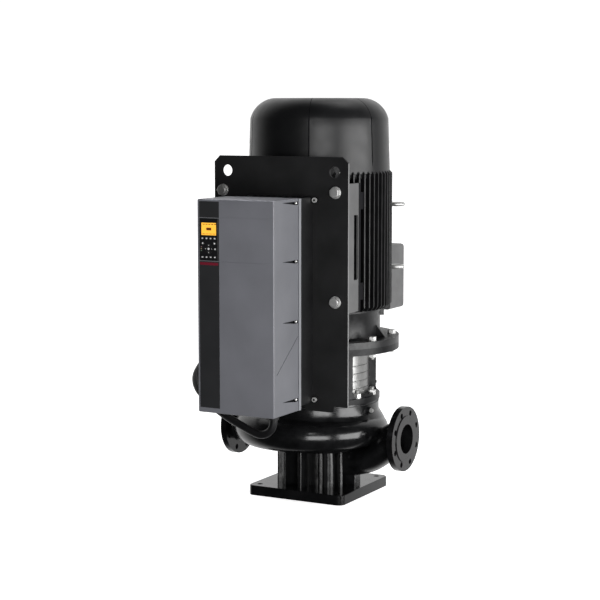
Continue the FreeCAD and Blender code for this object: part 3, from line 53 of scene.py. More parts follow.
# painted and moulded finishes; grain and swell are noise scales, mottle is how far the colour strays
finishes = {
    "casingGloss": {"colour": (0.0038, 0.0039, 0.0042), "rough": 0.2, "roughSpread": 0.1, "bump": 0.04,
                    "grain": 300, "swell": 26, "swellBump": 0.07, "specular": 0.42, "mottle": 0.3},
    "baseGloss": {"colour": (0.0038, 0.0039, 0.0042), "rough": 0.15, "roughSpread": 0.09, "bump": 0.03,
                  "grain": 260, "swell": 18, "swellBump": 0.02, "specular": 0.24, "mottle": 0.2},
    "stoolSatin": {"colour": (0.004, 0.0041, 0.0045), "rough": 0.36, "roughSpread": 0.12, "bump": 0.12,
                   "grain": 420, "swell": 30, "swellBump": 0.05, "specular": 0.14, "mottle": 0.3},
    "shieldSatin": {"colour": (0.004, 0.0041, 0.0045), "rough": 0.36, "roughSpread": 0.12, "bump": 0.12,
                    "grain": 420, "swell": 30, "swellBump": 0.05, "specular": 0.3, "mottle": 0.3},
    "frameSatin": {"colour": (0.0035, 0.0036, 0.004), "rough": 0.42, "roughSpread": 0.14, "bump": 0.12,
                   "grain": 420, "swell": 24, "swellBump": 0.04, "specular": 0.22, "mottle": 0.3},
    "coverSatin": {"colour": (0.0055, 0.0056, 0.006), "rough": 0.35, "roughSpread": 0.08, "bump": 0.04,
                   "grain": 700, "swell": 9, "swellBump": 0.01, "specular": 0.27, "mottle": 0.12},
    "plateMatte": {"colour": (0.0105, 0.0106, 0.011), "rough": 0.5, "roughSpread": 0.1, "bump": 0.06,
                   "grain": 900, "swell": 10, "swellBump": 0.01, "specular": 0.2, "mottle": 0.15},
    "sinkDark": {"colour": (0.004, 0.0041, 0.0045), "rough": 0.5, "roughSpread": 0.12, "bump": 0.08,
                 "grain": 800, "swell": 14, "swellBump": 0.02, "specular": 0.2, "mottle": 0.2},
    "boxGrey": {"colour": (0.086, 0.086, 0.087), "rough": 0.45, "roughSpread": 0.1, "bump": 0.07,
                "grain": 500, "swell": 16, "swellBump": 0.02, "specular": 0.35, "mottle": 0.1},
    "bracketGrey": {"colour": (0.072, 0.072, 0.073), "rough": 0.42, "roughSpread": 0.12, "bump": 0.05,
                    "grain": 700, "swell": 14, "swellBump": 0.02, "specular": 0.35, "mottle": 0.1},
    "housingGrey": {"colour": (0.165, 0.168, 0.187), "rough": 0.4, "roughSpread": 0.08, "bump": 0.08,
                    "grain": 1500, "swell": 7, "swellBump": 0.01, "specular": 0.5, "mottle": 0.05},
    # a darker copy of the housing grey for the housing and the sides of the front cover: painted shade
    "shellGrey": {"colour": (0.098, 0.1, 0.11), "rough": 0.4, "roughSpread": 0.08, "bump": 0.08,
                  "grain": 1500, "swell": 7, "swellBump": 0.01, "specular": 0.4, "mottle": 0.05},
    "stripBlack": {"colour": (0.024, 0.0245, 0.026), "rough": 0.36, "roughSpread": 0.06, "bump": 0.04,
                   "grain": 1600, "swell": 10, "swellBump": 0.0, "specular": 0.35, "mottle": 0.08},
    "panelGrey": {"colour": (0.007, 0.0072, 0.008), "rough": 0.42, "roughSpread": 0.06, "bump": 0.06,
                  "grain": 2000, "swell": 10, "swellBump": 0.0, "specular": 0.35, "mottle": 0.06},
    "fanBlack": {"colour": (0.012, 0.012, 0.013), "rough": 0.5, "roughSpread": 0.08, "bump": 0.06,
                 "grain": 700, "swell": 20, "swellBump": 0.0, "specular": 0.35, "mottle": 0.1},
    "cableBlack": {"colour": (0.0065, 0.0065, 0.007), "rough": 0.42, "roughSpread": 0.1, "bump": 0.08,
                   "grain": 600, "swell": 20, "swellBump": 0.03, "specular": 0.22, "mottle": 0.15},
    "keyDark": {"colour": (0.008, 0.008, 0.0085), "rough": 0.45, "roughSpread": 0.08, "bump": 0.05,
                "grain": 1800, "swell": 40, "swellBump": 0.0, "specular": 0.4, "mottle": 0.06},
    "glyphPale": {"colour": (0.75, 0.75, 0.76), "rough": 0.5, "roughSpread": 0.06, "bump": 0.02,
                  "grain": 1800, "swell": 40, "swellBump": 0.0, "specular": 0.4, "mottle": 0.05},
    "displayInk": {"colour": (0.16, 0.05, 0.01), "rough": 0.35, "roughSpread": 0.06, "bump": 0.02,
                   "grain": 1800, "swell": 40, "swellBump": 0.0, "specular": 0.4, "mottle": 0.05},
    "lensGreen": {"colour": (0.2, 0.27, 0.21), "rough": 0.2, "roughSpread": 0.05, "bump": 0.02,
                  "grain": 1800, "swell": 40, "swellBump": 0.0, "specular": 0.5, "mottle": 0.05},
    "lensAmber": {"colour": (0.33, 0.27, 0.18), "rough": 0.2, "roughSpread": 0.05, "bump": 0.02,
                  "grain": 1800, "swell": 40, "swellBump": 0.0, "specular": 0.5, "mottle": 0.05},
    "lensRed": {"colour": (0.34, 0.2, 0.2), "rough": 0.2, "roughSpread": 0.05, "bump": 0.02,
                "grain": 1800, "swell": 40, "swellBump": 0.0, "specular": 0.5, "mottle": 0.05},
    # near black with little gloss: painted shade in the housing's side recesses and the ear sockets, and the
    # black of the cowl seams, the motor pads, the bracket's rear end and the shield rim
    "recessDark": {"colour": (0.004, 0.004, 0.005), "rough": 0.6, "roughSpread": 0.1, "bump": 0.05,
                   "grain": 900, "swell": 12, "swellBump": 0.0, "specular": 0.06, "mottle": 0.1},
    "trimPale": {"colour": (0.17, 0.173, 0.185), "rough": 0.4, "roughSpread": 0.06, "bump": 0.03,
                 "grain": 1500, "swell": 8, "swellBump": 0.0, "specular": 0.4, "mottle": 0.05},
    # light grey for the side edges of the black mounting plate: painted sheen
    "edgeGrey": {"colour": (0.13, 0.13, 0.131), "rough": 0.45, "roughSpread": 0.08, "bump": 0.04,
                 "grain": 900, "swell": 10, "swellBump": 0.0, "specular": 0.4, "mottle": 0.1},
    "bandRed": {"colour": (0.15, 0.011, 0.024), "rough": 0.4, "roughSpread": 0.06, "bump": 0.04,
                "grain": 1500, "swell": 10, "swellBump": 0.0, "specular": 0.35, "mottle": 0.08},
}

# bare and plated metals; tint is the second colour in their patches
metals = {
    "zincSteel": {"colour": (0.58, 0.58, 0.575), "rough": 0.5, "tint": (0.5, 0.5, 0.49), "grain": 160},
    "screwBright": {"colour": (0.85, 0.85, 0.84), "rough": 0.5, "tint": (0.75, 0.75, 0.74), "grain": 160},
    "stainlessSheet": {"colour": (0.28, 0.28, 0.276), "rough": 0.36, "tint": (0.25, 0.25, 0.246),
                       "grain": 220},
    "turnedSteel": {"colour": (0.55, 0.55, 0.56), "rough": 0.28, "tint": (0.42, 0.42, 0.44), "grain": 300},
    "castImpeller": {"colour": (0.2, 0.2, 0.21), "rough": 0.5, "tint": (0.12, 0.12, 0.125), "grain": 240},
    "bronze": {"colour": (0.6, 0.42, 0.2), "rough": 0.35, "tint": (0.45, 0.28, 0.13), "grain": 200},
    "copper": {"colour": (0.62, 0.28, 0.13), "rough": 0.4, "tint": (0.4, 0.16, 0.07), "grain": 500},
    "lamination": {"colour": (0.3, 0.3, 0.32), "rough": 0.45, "tint": (0.2, 0.2, 0.21), "grain": 300},
}

# the CAD nodes that take each finish; the keys, the display and the rebuilt nodes are seen to further down
nodeFinish = {
    "casingGloss": ["volute_housing", "pump_cover"],
    "baseGloss": ["base_plate"],
    "stoolSatin": ["motor_stool"],
    "shieldSatin": ["drive_end_shield"],
    "frameSatin": ["stator_frame", "fan_end_shield"],
    "coverSatin": ["fan_cover"],
    "plateMatte": ["mounting_plate"],
    "sinkDark": ["converter_heat_sink"],
    "boxGrey": ["terminal_box", "terminal_box_lid"],
    "bracketGrey": ["mounting_brackets"],
    "housingGrey": ["converter_front_cover"],
    # the housing takes the darker copy of the grey, as painted shade
    "shellGrey": ["converter_housing"],
    "stripBlack": ["control_strip"],
    "panelGrey": ["control_panel"],
    "fanBlack": ["cooling_fan", "cable_glands", "cover_gasket", "seal_seat", "seal_rotating_ring"],
    "zincSteel": ["foot_bolts", "gauge_plugs", "air_vent_screw", "lifting_eyes", "cover_screws"],
    "screwBright": ["converter_screws"],
    "stainlessSheet": ["coupling_guards", "impeller_nut"],
    "turnedSteel": ["pump_shaft", "motor_shaft", "impeller_key", "coupling_halves", "coupling_screws",
                    "bearing_outer_rings", "bearing_inner_rings"],
    "castImpeller": ["impeller"],
    "bronze": ["wear_ring"],
    "copper": ["stator_windings"],
    "lamination": ["stator_core", "rotor_core"],
}

# how the numbers of a finish turn into shader nodes
noiseSpan = (0.3, 0.7)
painting = {"lift": 2.2, "liftBase": 0.004, "swellDetail": 4, "swellDepth": 0.002,
            "glossScale": 2.6, "glossDetail": 5, "grainDetail": 2, "grainDepth": 0.0006}
plating = {"patchScale": 0.25, "patchDetail": 4, "marksDetail": 3, "smoother": 0.06, "rougher": 0.12,
           "marks": 0.12, "marksDepth": 0.0003}


def newMaterial(name):
    material = bpy.data.materials.new(name)
    material.use_nodes = True
    tree = material.node_tree
    tree.nodes.clear()
    output = tree.nodes.new("ShaderNodeOutputMaterial")
    shader = tree.nodes.new("ShaderNodeBsdfPrincipled")
    tree.links.new(shader.outputs["BSDF"], output.inputs["Surface"])
    return material, tree, shader


def objectPlace(tree):
    for node in tree.nodes:
        if node.bl_idname == "ShaderNodeTexCoord":
            return node.outputs["Object"]
    return tree.nodes.new("ShaderNodeTexCoord").outputs["Object"]


def noise(tree, scale, detail):
    node = tree.nodes.new("ShaderNodeTexNoise")
    node.inputs["Scale"].default_value = scale
    node.inputs["Detail"].default_value = detail
    tree.links.new(objectPlace(tree), node.inputs["Vector"])
    return node.outputs["Fac"]


def ramp(tree, value, span, result, kind="LINEAR"):
    node = tree.nodes.new("ShaderNodeMapRange")
    node.interpolation_type = kind
    for label, number in zip(("From Min", "From Max", "To Min", "To Max"), (*span, *result)):
        node.inputs[label].default_value = number
    tree.links.new(value, node.inputs["Value"])
    return node.outputs["Result"]


def mixColours(tree, factor, first, second):
    node = tree.nodes.new("ShaderNodeMix")
    node.data_type = "RGBA"
    node.inputs["A"].default_value = (*first, 1)
    node.inputs["B"].default_value = (*second, 1)
    tree.links.new(factor, node.inputs["Factor"])
    return node.outputs["Result"]


def bumpFrom(tree, height, strength, distance, below=None):
    node = tree.nodes.new("ShaderNodeBump")
    node.inputs["Strength"].default_value = strength
    node.inputs["Distance"].default_value = distance
    tree.links.new(height, node.inputs["Height"])
    if below:
        tree.links.new(below, node.inputs["Normal"])
    return node.outputs["Normal"]


def paintMaterial(name, finish):
    # metal under paint, or moulded plastic: mottled colour, uneven gloss, fine grain over slow swell
    material, tree, shader = newMaterial(name)
    p, mottle = painting, finish["mottle"]
    lifted = [min(1, c * (1 + p["lift"] * mottle) + p["liftBase"] * mottle) for c in finish["colour"]]
    worn = [c * (1 - mottle) for c in finish["colour"]]
    slow = noise(tree, finish["swell"], p["swellDetail"])
    colour = mixColours(tree, ramp(tree, slow, noiseSpan, (0, 1)), worn, lifted)
    tree.links.new(colour, shader.inputs["Base Color"])
    gloss = noise(tree, finish["swell"] * p["glossScale"], p["glossDetail"])
    low = finish["rough"] - finish["roughSpread"] / 2
    rough = ramp(tree, gloss, noiseSpan, (low, low + finish["roughSpread"]))
    tree.links.new(rough, shader.inputs["Roughness"])
    normal = bumpFrom(tree, slow, finish["swellBump"], p["swellDepth"])
    grain = noise(tree, finish["grain"], p["grainDetail"])
    normal = bumpFrom(tree, grain, finish["bump"], p["grainDepth"], normal)
    tree.links.new(normal, shader.inputs["Normal"])
    shader.inputs["Specular IOR Level"].default_value = finish["specular"]
    return material


def metalMaterial(name, finish):
    # plated or bare metal: two tints in patches, uneven gloss, faint tool marks
    material, tree, shader = newMaterial(name)
    p, rough = plating, finish["rough"]
    patches = noise(tree, finish["grain"] * p["patchScale"], p["patchDetail"])
    colour = mixColours(tree, ramp(tree, patches, noiseSpan, (0, 1)), finish["colour"], finish["tint"])
    tree.links.new(colour, shader.inputs["Base Color"])
    shader.inputs["Metallic"].default_value = 1.0
    marks = noise(tree, finish["grain"], p["marksDetail"])
    gloss = ramp(tree, marks, noiseSpan, (rough - p["smoother"], rough + p["rougher"]))
    tree.links.new(gloss, shader.inputs["Roughness"])
    tree.links.new(bumpFrom(tree, marks, p["marks"], p["marksDepth"]), shader.inputs["Normal"])
    return material


display = {"scale": 130, "line": 0.012, "cells": (0.78, 0.40, 0.045), "lines": (0.62, 0.29, 0.03),
           "glow": 0.95, "rough": 0.16, "coat": 0.6}


def displayMaterial():
    # amber display behind a clear window: a grid of bright cells with slightly darker lines between them
    material, tree, shader = newMaterial("displayAmber")
    grid = tree.nodes.new("ShaderNodeTexBrick")
    grid.inputs["Scale"].default_value = display["scale"]
    grid.inputs["Mortar Size"].default_value = display["line"]
    mapping = tree.nodes.new("ShaderNodeMapping")
    mapping.inputs["Rotation"].default_value = (math.pi / 2, 0, 0)
    tree.links.new(objectPlace(tree), mapping.inputs["Vector"])
    tree.links.new(mapping.outputs["Vector"], grid.inputs["Vector"])
    ground = mixColours(tree, grid.outputs["Fac"], display["cells"], display["lines"])
    tree.links.new(ground, shader.inputs["Base Color"])
    tree.links.new(ground, shader.inputs["Emission Color"])
    shader.inputs["Emission Strength"].default_value = display["glow"]
    shader.inputs["Roughness"].default_value = display["rough"]
    shader.inputs["Coat Weight"].default_value = display["coat"]
    return material


materials = {name: paintMaterial(name, finish) for name, finish in finishes.items()}
materials.update({name: metalMaterial(name, finish) for name, finish in metals.items()})
materials["displayAmber"] = displayMaterial()
print("materials made:", len(materials))

bodyOf = {node: body for body, nodes in frame["record"]["behaviour"]["bodies"].items() for node in nodes}
finishOf = {node: finish for finish, nodes in nodeFinish.items() for node in nodes}
finishOf["display_window"] = "displayAmber"
finishOf.update({node: "keyDark" for node in frame["nodes"] if node.startswith("key_")})


def camel(node):
    words = node.split("_")
    return words[0] + "".join(word.capitalize() for word in words[1:])


def addPiece(name, mesh, finish, body):
    piece = bpy.data.objects.new(name, mesh)
    bpy.context.collection.objects.link(piece)
    mesh.materials.clear()
    mesh.materials.append(materials[finish])
    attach(piece, body)
    return piece


def meshFrom(work, name):
    # ends a bmesh as a mesh whose faces all look outwards
    bmesh.ops.recalc_face_normals(work, faces=work.faces)
    mesh = bpy.data.meshes.new(name)
    work.to_mesh(mesh)
    work.free()
    return mesh


def evaluatedMesh(piece):
    return bpy.data.meshes.new_from_object(piece.evaluated_get(bpy.context.evaluated_depsgraph_get()))


dressing = {"merge": 3e-6, "crease": 33}


def dressNode(node, finish):
    # a CAD mesh is loose triangles: a merged copy is shaded smoothly between its sharp edges
    mesh = frame["nodes"][node].data.copy()
    mesh.name = camel(node)
    if "custom_normal" in mesh.attributes:
        mesh.attributes.remove(mesh.attributes["custom_normal"])
    work = bmesh.new()
    work.from_mesh(mesh)
    bmesh.ops.remove_doubles(work, verts=work.verts, dist=dressing["merge"])
    for face in work.faces:
        face.smooth = True
    for edge in work.edges:
        flat = edge.calc_face_angle(0) < math.radians(dressing["crease"])
        edge.smooth = len(edge.link_faces) == 2 and flat
    work.to_mesh(mesh)
    work.free()
    piece = addPiece(camel(node) + "Finished", mesh, finish, bodyOf[node])
    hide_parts(node)


def tintFaces(node, finish, wanted):
    # faces of a dressed piece that take a second finish; wanted is asked with each face's centre and normal
    mesh = bpy.data.objects[camel(node) + "Finished"].data
    mesh.materials.append(materials[finish])
    number = len(mesh.materials) - 1
    for face in mesh.polygons:
        if wanted(face.center, face.normal):
            face.material_index = number


lenses = {"finishes": ("lensGreen", "lensAmber", "lensRed"), "lowest": 0.877, "pitch": 0.006,
          "reach": 0.0028, "right": -0.09}


def colourLenses():
    # the three indicator lenses share a node with the display window
    for i, finish in enumerate(lenses["finishes"]):
        level = lenses["lowest"] + lenses["pitch"] * i
        tintFaces("display_window", finish,
                  lambda place, normal: abs(place.z - level) < lenses["reach"] and place.x < lenses["right"])


converterSides = {"left": -0.123, "right": 0.153, "front": -0.536, "back": -0.4335}
recess = {"skin": 0.0002, "depth": 0.0135, "low": 0.39, "high": 1.035}


# faces inside the housing's side recesses, which take painted shade
def inShadedRecess(place, normal):
    c, r = converterSides, recess
    inside = c["left"] + r["skin"] < place.x < c["right"] - r["skin"]
    nearSide = place.x < c["left"] + r["depth"] or place.x > c["right"] - r["depth"]
    return inside and nearSide and c["front"] < place.y < c["back"] and r["low"] < place.z < r["high"]


plateEdge = {"centre": 0.006, "reach": 0.245, "facing": 0.9}
motorPad = {"side": 0.19, "front": -0.2, "back": -0.12}
guardScrewTop = 0.53
coverSideFacing = 0.7


def onPlateEdgeSheen(place, normal):
    return abs(normal.x) > plateEdge["facing"] and abs(place.x - plateEdge["centre"]) > plateEdge["reach"]


def onMotorPad(place, normal):
    return abs(place.x) > motorPad["side"] and motorPad["front"] < place.y < motorPad["back"]


def onGuardScrew(place, normal):
    return place.z < guardScrewTop


def onShadedCoverSide(place, normal):
    return abs(normal.x) > coverSideFacing


def boxAt(centre, size, turn=Matrix()):
    return turn @ Matrix.Translation(centre) @ Matrix.Diagonal((*size, 1))


def cutPiece(name, boxes):
    # takes boxes, each a transform of the unit cube, out of a dressed piece
    piece = bpy.data.objects[name]
    work = bmesh.new()
    for box in boxes:
        bmesh.ops.create_cube(work, size=1, matrix=box)
    cutter = bpy.data.objects.new("cutter", meshFrom(work, "cutter"))
    bpy.context.collection.objects.link(cutter)
    modifier = piece.modifiers.new("cut", "BOOLEAN")
    modifier.operation = "DIFFERENCE"
    modifier.solver = "EXACT"
    modifier.object = cutter
    cut = evaluatedMesh(piece)
    piece.modifiers.remove(modifier)
    bpy.data.objects.remove(cutter)
    piece.data = cut
    return cut


bracketTrim = {"rear": -0.1705, "slotBack": -0.1835, "slotFront": -0.2035, "slotLow": 0.7640,
               "slotHigh": 0.9760, "sheet": 0.232, "cutDepth": 0.014}


def reworkBrackets():
    # the CAD's slot is widened forwards, and the rear end that meets the motor pads is black like them
    e = bracketTrim
    centre = ((e["slotBack"] + e["slotFront"]) / 2, (e["slotLow"] + e["slotHigh"]) / 2)
    size = (e["cutDepth"], e["slotBack"] - e["slotFront"], e["slotHigh"] - e["slotLow"])
    sides = (-e["sheet"], e["sheet"])
    cut = cutPiece("mountingBracketsFinished", [boxAt((side, *centre), size) for side in sides])
    work = bmesh.new()
    work.from_mesh(cut)
    everything = list(work.verts) + list(work.edges) + list(work.faces)
    bmesh.ops.bisect_plane(work, geom=everything, plane_co=(0, e["rear"], 0), plane_no=(0, 1, 0))
    work.to_mesh(cut)
    work.free()
    tintFaces("mounting_brackets", "recessDark", lambda place, normal: place.y > e["rear"])


lipGroove = {"place": (-0.4308, 0.7), "size": (0.004, 0.0046, 0.69)}


def reworkHousing():
    # a groove sets the rear lip of the housing off from its sides
    sides = (converterSides["left"], converterSides["right"])
    cutPiece("converterHousingFinished",
             [boxAt((side, *lipGroove["place"]), lipGroove["size"]) for side in sides])


seams = {"bearings": (-70.6, -15.0), "count": 3, "halfWidth": 0.0023, "bottom": 1.135}
seamAngles = [math.radians(bearing + 360 / seams["count"] * i)
              for bearing in seams["bearings"] for i in range(seams["count"])]
coverSeam = {"low": 1.143, "high": 1.297, "lowRadius": 0.24, "highRadius": 0.2345, "depth": 0.0026,
             "width": 0.0044}


def inSeam(place, normal):
    for angle in seamAngles:
        along = place.x * math.cos(angle) + place.y * math.sin(angle)
        across = place.y * math.cos(angle) - place.x * math.sin(angle)
        if place.z >= seams["bottom"] and along > 0 and abs(across) < seams["halfWidth"]:
            return True
    return False


def reworkFanCover():
    # the seams of the cowl are wider, deeper and darker grooves than those of the CAD
    c = coverSeam
    height = c["high"] - c["low"]
    lean = math.atan2(c["highRadius"] - c["lowRadius"], height)
    middle = ((c["lowRadius"] + c["highRadius"]) / 2, 0, (c["low"] + c["high"]) / 2)
    upright = Matrix.Translation(middle) @ Matrix.Rotation(lean, 4, "Y")
    boxes = [boxAt((0, 0, 0), (2 * c["depth"], c["width"], height), Matrix.Rotation(angle, 4, "Z") @ upright)
             for angle in seamAngles]
    cutPiece("fanCoverFinished", boxes)
    tintFaces("fan_cover", "recessDark", inSeam)


rebuilt = ["motor_cable", "stool_fasteners", "flange_bolts", "mounting_bolts"]
for node in sorted(frame["nodes"]):
    if node not in rebuilt:
        dressNode(node, finishOf[node])
colourLenses()
# painted shade: the faces inside the housing's side recesses take the near-black finish
tintFaces("converter_housing", "recessDark", inShadedRecess)
# painted highlight: the side edges of the mounting plate take a light grey
tintFaces("mounting_plate", "edgeGrey", onPlateEdgeSheen)
tintFaces("stator_frame", "recessDark", onMotorPad)
tintFaces("cover_screws", "stoolSatin", onGuardScrew)
# painted shade: the front cover's side faces take the darker copy of its grey
tintFaces("converter_front_cover", "shellGrey", onShadedCoverSide)
reworkBrackets()
reworkHousing()
reworkFanCover()
print("CAD nodes dressed")

# motor cable from the converter's gland round the motor to the terminal box, route in millimetres
cable = {
    "radius": 0.013,
    "length": 1.3165,
    "roundSteps": 5,
    "alongSteps": 12,
    "order": 3,
    "route": [(62, -430, 333), (62, -430, 304), (43, -430, 278), (12, -430, 268), (-20, -428, 278),
              (-60, -423, 292), (-104, -414, 306), (-148, -402, 322), (-192, -388, 341), (-238, -368, 363),
              (-284, -340, 388), (-318, -298, 416), (-332, -242, 445), (-334, -178, 470), (-327, -110, 490),
              (-317, -40, 502), (-309, 32, 505), (-297, 102, 495), (-272, 166, 477), (-235, 220, 461),
              (-186, 262, 452), (-132, 287, 466), (-86, 295.2, 496), (-60, 298.2, 545), (-60, 298.2, 584)],
}


def makeCable():
    route = [[c / 1000 for c in place] for place in cable["route"]]
    curve = bpy.data.curves.new("motorCable", "CURVE")
    curve.dimensions = "3D"
    curve.bevel_depth = cable["radius"]
    curve.bevel_resolution = cable["roundSteps"]
    curve.resolution_u = cable["alongSteps"]
    curve.use_fill_caps = True
    spline = curve.splines.new("NURBS")
    spline.points.add(len(route) - 1)
    for point, place in zip(spline.points, route):
        point.co = (*place, 1)
    spline.order_u = cable["order"]
    spline.use_endpoint_u = True
    piece = bpy.data.objects.new("motorCable", curve)
    bpy.context.collection.objects.link(piece)
    curve.materials.append(materials["cableBlack"])
    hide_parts("motor_cable")
    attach(piece, "pump_stand")


makeCable()
print("cable made")


def ringOf(work, corners, turn=Matrix.Identity(3)):
    # corners are (radius, height) pairs, spread evenly round the axis that the turn gives
    ring = []
    for i, (radius, height) in enumerate(corners):
        angle = 2 * math.pi * i / len(corners)
        point = Vector((radius * math.cos(angle), radius * math.sin(angle), height))
        ring.append(work.verts.new(turn @ point))
    return ring


def joinRings(work, rings):
    for lower, upper in zip(rings, rings[1:]):
        for i in range(len(lower)):
            j = (i + 1) % len(lower)
            work.faces.new((lower[i], lower[j], upper[j], upper[i]))


def turnedBody(work, rings, axis):
    turn = Vector((0, 0, 1)).rotation_difference(Vector(axis)).to_matrix()
    rings = [ringOf(work, corners, turn) for corners in rings]
    joinRings(work, rings)
    work.faces.new(list(reversed(rings[0])))
    work.faces.new(rings[-1])


def lathe(work, profile, sides, axis):
    # profile is (radius, height) pairs, turned about the axis through the origin
    turnedBody(work, [[pair] * sides for pair in profile], axis)


headShape = {"sides": 36, "top": 0.95, "cone": 30}
washerShape = {"sides": 40, "edge": 0.0006}
threads = {"pitch": 0.002, "depth": 0.0009, "sides": 24, "plainEnd": 0.0022, "chamfer": 0.0018}


def hexHead(work, flats, low, high, axis, chamferLow=False):
    # six flats whose corners a cone has taken off, as on a forged head or nut
    sides = headShape["sides"]
    inner = flats / 2 * headShape["top"]
    slope = math.tan(math.radians(headShape["cone"]))
    corners = [flats / 2 / math.cos(math.radians((i * 360 / sides) % 60 - 30)) for i in range(sides)]
    rings = [[(corner, low) for corner in corners]]
    if chamferLow:
        rings = [[(inner, low)] * sides, [(corner, low + (corner - inner) * slope) for corner in corners]]
    rings += [[(corner, high - (corner - inner) * slope) for corner in corners], [(inner, high)] * sides]
    turnedBody(work, rings, axis)


def washer(work, radius, low, high, axis):
    edge = min(washerShape["edge"], (high - low) / 3)
    profile = [(radius - edge, low), (radius, low + edge), (radius, high - edge), (radius - edge, high)]
    lathe(work, profile, washerShape["sides"], axis)


def threadedRod(work, radius, low, high, axis):
    root = radius - threads["depth"]
    profile = [(root, low)]
    height = low + threads["pitch"] / 2
    while height < high - threads["pitch"]:
        profile += [(radius, height), (root, height + threads["pitch"] / 2)]
        height += threads["pitch"]
    profile += [(radius, high - threads["plainEnd"]), (radius - threads["chamfer"], high)]
    lathe(work, profile, threads["sides"], axis)


def placesRound(radius, first, step, z):
    bearings = [math.radians(a) for a in range(first, first + 360, step)]
    return [(radius * math.cos(b), radius * math.sin(b), z) for b in bearings]


# heights in metres from the seat along each fastener's axis; places are where the seat is
fasteners = {
    "stoolNuts": {"node": "stool_fasteners", "axis": (0, 0, 1), "washer": (0.015, 0, 0.003),
                  "hexes": [(0.024, 0.003, 0.016, False)], "rod": (0.008, -0.052, 0.026),
                  "places": placesRound(0.19, 10, 30, 0.348)},
    "motorFlangeBolts": {"node": "flange_bolts", "axis": (0, 0, 1), "washer": (0.015, 0, 0.003),
                         "hexes": [(0.024, 0.003, 0.013, False), (0.024, -0.057, -0.044, True)],
                         "rod": (0.008, -0.064, 0.001), "places": placesRound(0.25, 28, 45, 0.55)},
    "plateBolts": {"node": "mounting_bolts", "axis": (0, -1, 0), "washer": (0.020, 0, 0.003),
                   "hexes": [(0.030, 0.003, 0.0155, False), (0.030, -0.030, -0.014, True)],
                   "rod": (0.010, -0.034, 0.001),
                   "places": [(x, -0.286, z) for x in (-0.21, 0.21) for z in (0.698, 1.052)]},
    "bracketScrews": {"node": None, "axis": (0, -1, 0), "washer": (0.012, 0, 0.003),
                      "hexes": [(0.018, 0.003, 0.011, False)], "rod": (0.006, -0.028, 0.001),
                      "places": [(x, -0.161, z) for x in (-0.21, 0.21) for z in (0.719, 1.019)]},
}


def instanceTree(name, inputs):
    # what the node groups share: a shape's copy at every point, made real and painted
    tree = bpy.data.node_groups.new(name, "GeometryNodeTree")
    sockets = {"Geometry": "NodeSocketGeometry", "Shape": "NodeSocketObject", **inputs,
               "Finish": "NodeSocketMaterial"}
    for label, kind in sockets.items():
        tree.interface.new_socket(label, in_out="INPUT", socket_type=kind)
    tree.interface.new_socket("Geometry", in_out="OUTPUT", socket_type="NodeSocketGeometry")
    source = tree.nodes.new("NodeGroupInput")
    result = tree.nodes.new("NodeGroupOutput")
    shape = tree.nodes.new("GeometryNodeObjectInfo")
    place = tree.nodes.new("GeometryNodeInstanceOnPoints")
    realize = tree.nodes.new("GeometryNodeRealizeInstances")
    paint = tree.nodes.new("GeometryNodeSetMaterial")
    link = tree.links.new
    link(source.outputs["Shape"], shape.inputs["Object"])
    link(shape.outputs["Geometry"], place.inputs["Instance"])
    link(place.outputs["Instances"], realize.inputs["Geometry"])
    link(realize.outputs["Geometry"], paint.inputs["Geometry"])
    link(source.outputs["Finish"], paint.inputs["Material"])
    link(paint.outputs["Geometry"], result.inputs["Geometry"])
    return tree, source, place


def fastenerTree():
    # one fastener at every point, each turned about its own axis by a seeded amount
    tree, source, place = instanceTree("fastenersAtPoints", {"Axis": "NodeSocketVector",
                                                             "Turn Seed": "NodeSocketInt"})
    amount = tree.nodes.new("FunctionNodeRandomValue")
    amount.data_type = "FLOAT"
    amount.inputs[3].default_value = 2 * math.pi
    spin = tree.nodes.new("FunctionNodeAxisAngleToRotation")
    link = tree.links.new
    link(source.outputs["Geometry"], place.inputs["Points"])
    link(source.outputs["Turn Seed"], amount.inputs["Seed"])
    link(amount.outputs[1], spin.inputs["Angle"])
    link(source.outputs["Axis"], spin.inputs["Axis"])
    link(spin.outputs["Rotation"], place.inputs["Rotation"])
    return tree


def ribTree():
    # as many ribs as the count says, spread evenly round the Z axis
    tree, source, place = instanceTree("ribsRoundAxis", {"Count": "NodeSocketInt"})
    points = tree.nodes.new("GeometryNodeMeshLine")
    points.inputs["Offset"].default_value = (0, 0, 0)
    index = tree.nodes.new("GeometryNodeInputIndex")
    full = tree.nodes.new("ShaderNodeMath")
    full.operation = "MULTIPLY"
    full.inputs[1].default_value = 2 * math.pi
    share = tree.nodes.new("ShaderNodeMath")
    share.operation = "DIVIDE"
    turn = tree.nodes.new("ShaderNodeCombineXYZ")
    link = tree.links.new
    link(source.outputs["Count"], points.inputs["Count"])
    link(points.outputs["Mesh"], place.inputs["Points"])
    link(index.outputs["Index"], full.inputs[0])
    link(full.outputs["Value"], share.inputs[0])
    link(source.outputs["Count"], share.inputs[1])
    link(share.outputs["Value"], turn.inputs["Z"])
    link(turn.outputs["Vector"], place.inputs["Rotation"])
    return tree


def treeInput(tree, name):
    return next(item.identifier for item in tree.interface.items_tree
                if item.in_out == "INPUT" and item.name == name)


def bakeTree(name, work, places, tree, settings):
    # copies of the shape in the bmesh at the places, as one mesh
    shape = bpy.data.objects.new(name + "Shape", meshFrom(work, name + "Shape"))
    points = bpy.data.meshes.new(name + "Places")
    points.from_pydata(places, [], [])
    holder = bpy.data.objects.new(name + "Holder", points)
    bpy.context.collection.objects.link(holder)
    modifier = holder.modifiers.new(name, "NODES")
    modifier.node_group = tree
    for label, value in {"Shape": shape, **settings}.items():
        modifier[treeInput(tree, label)] = value
    baked = evaluatedMesh(holder)
    bpy.data.objects.remove(holder)
    bpy.data.objects.remove(shape)
    baked.name = name
    return baked


firstTurnSeed = 3


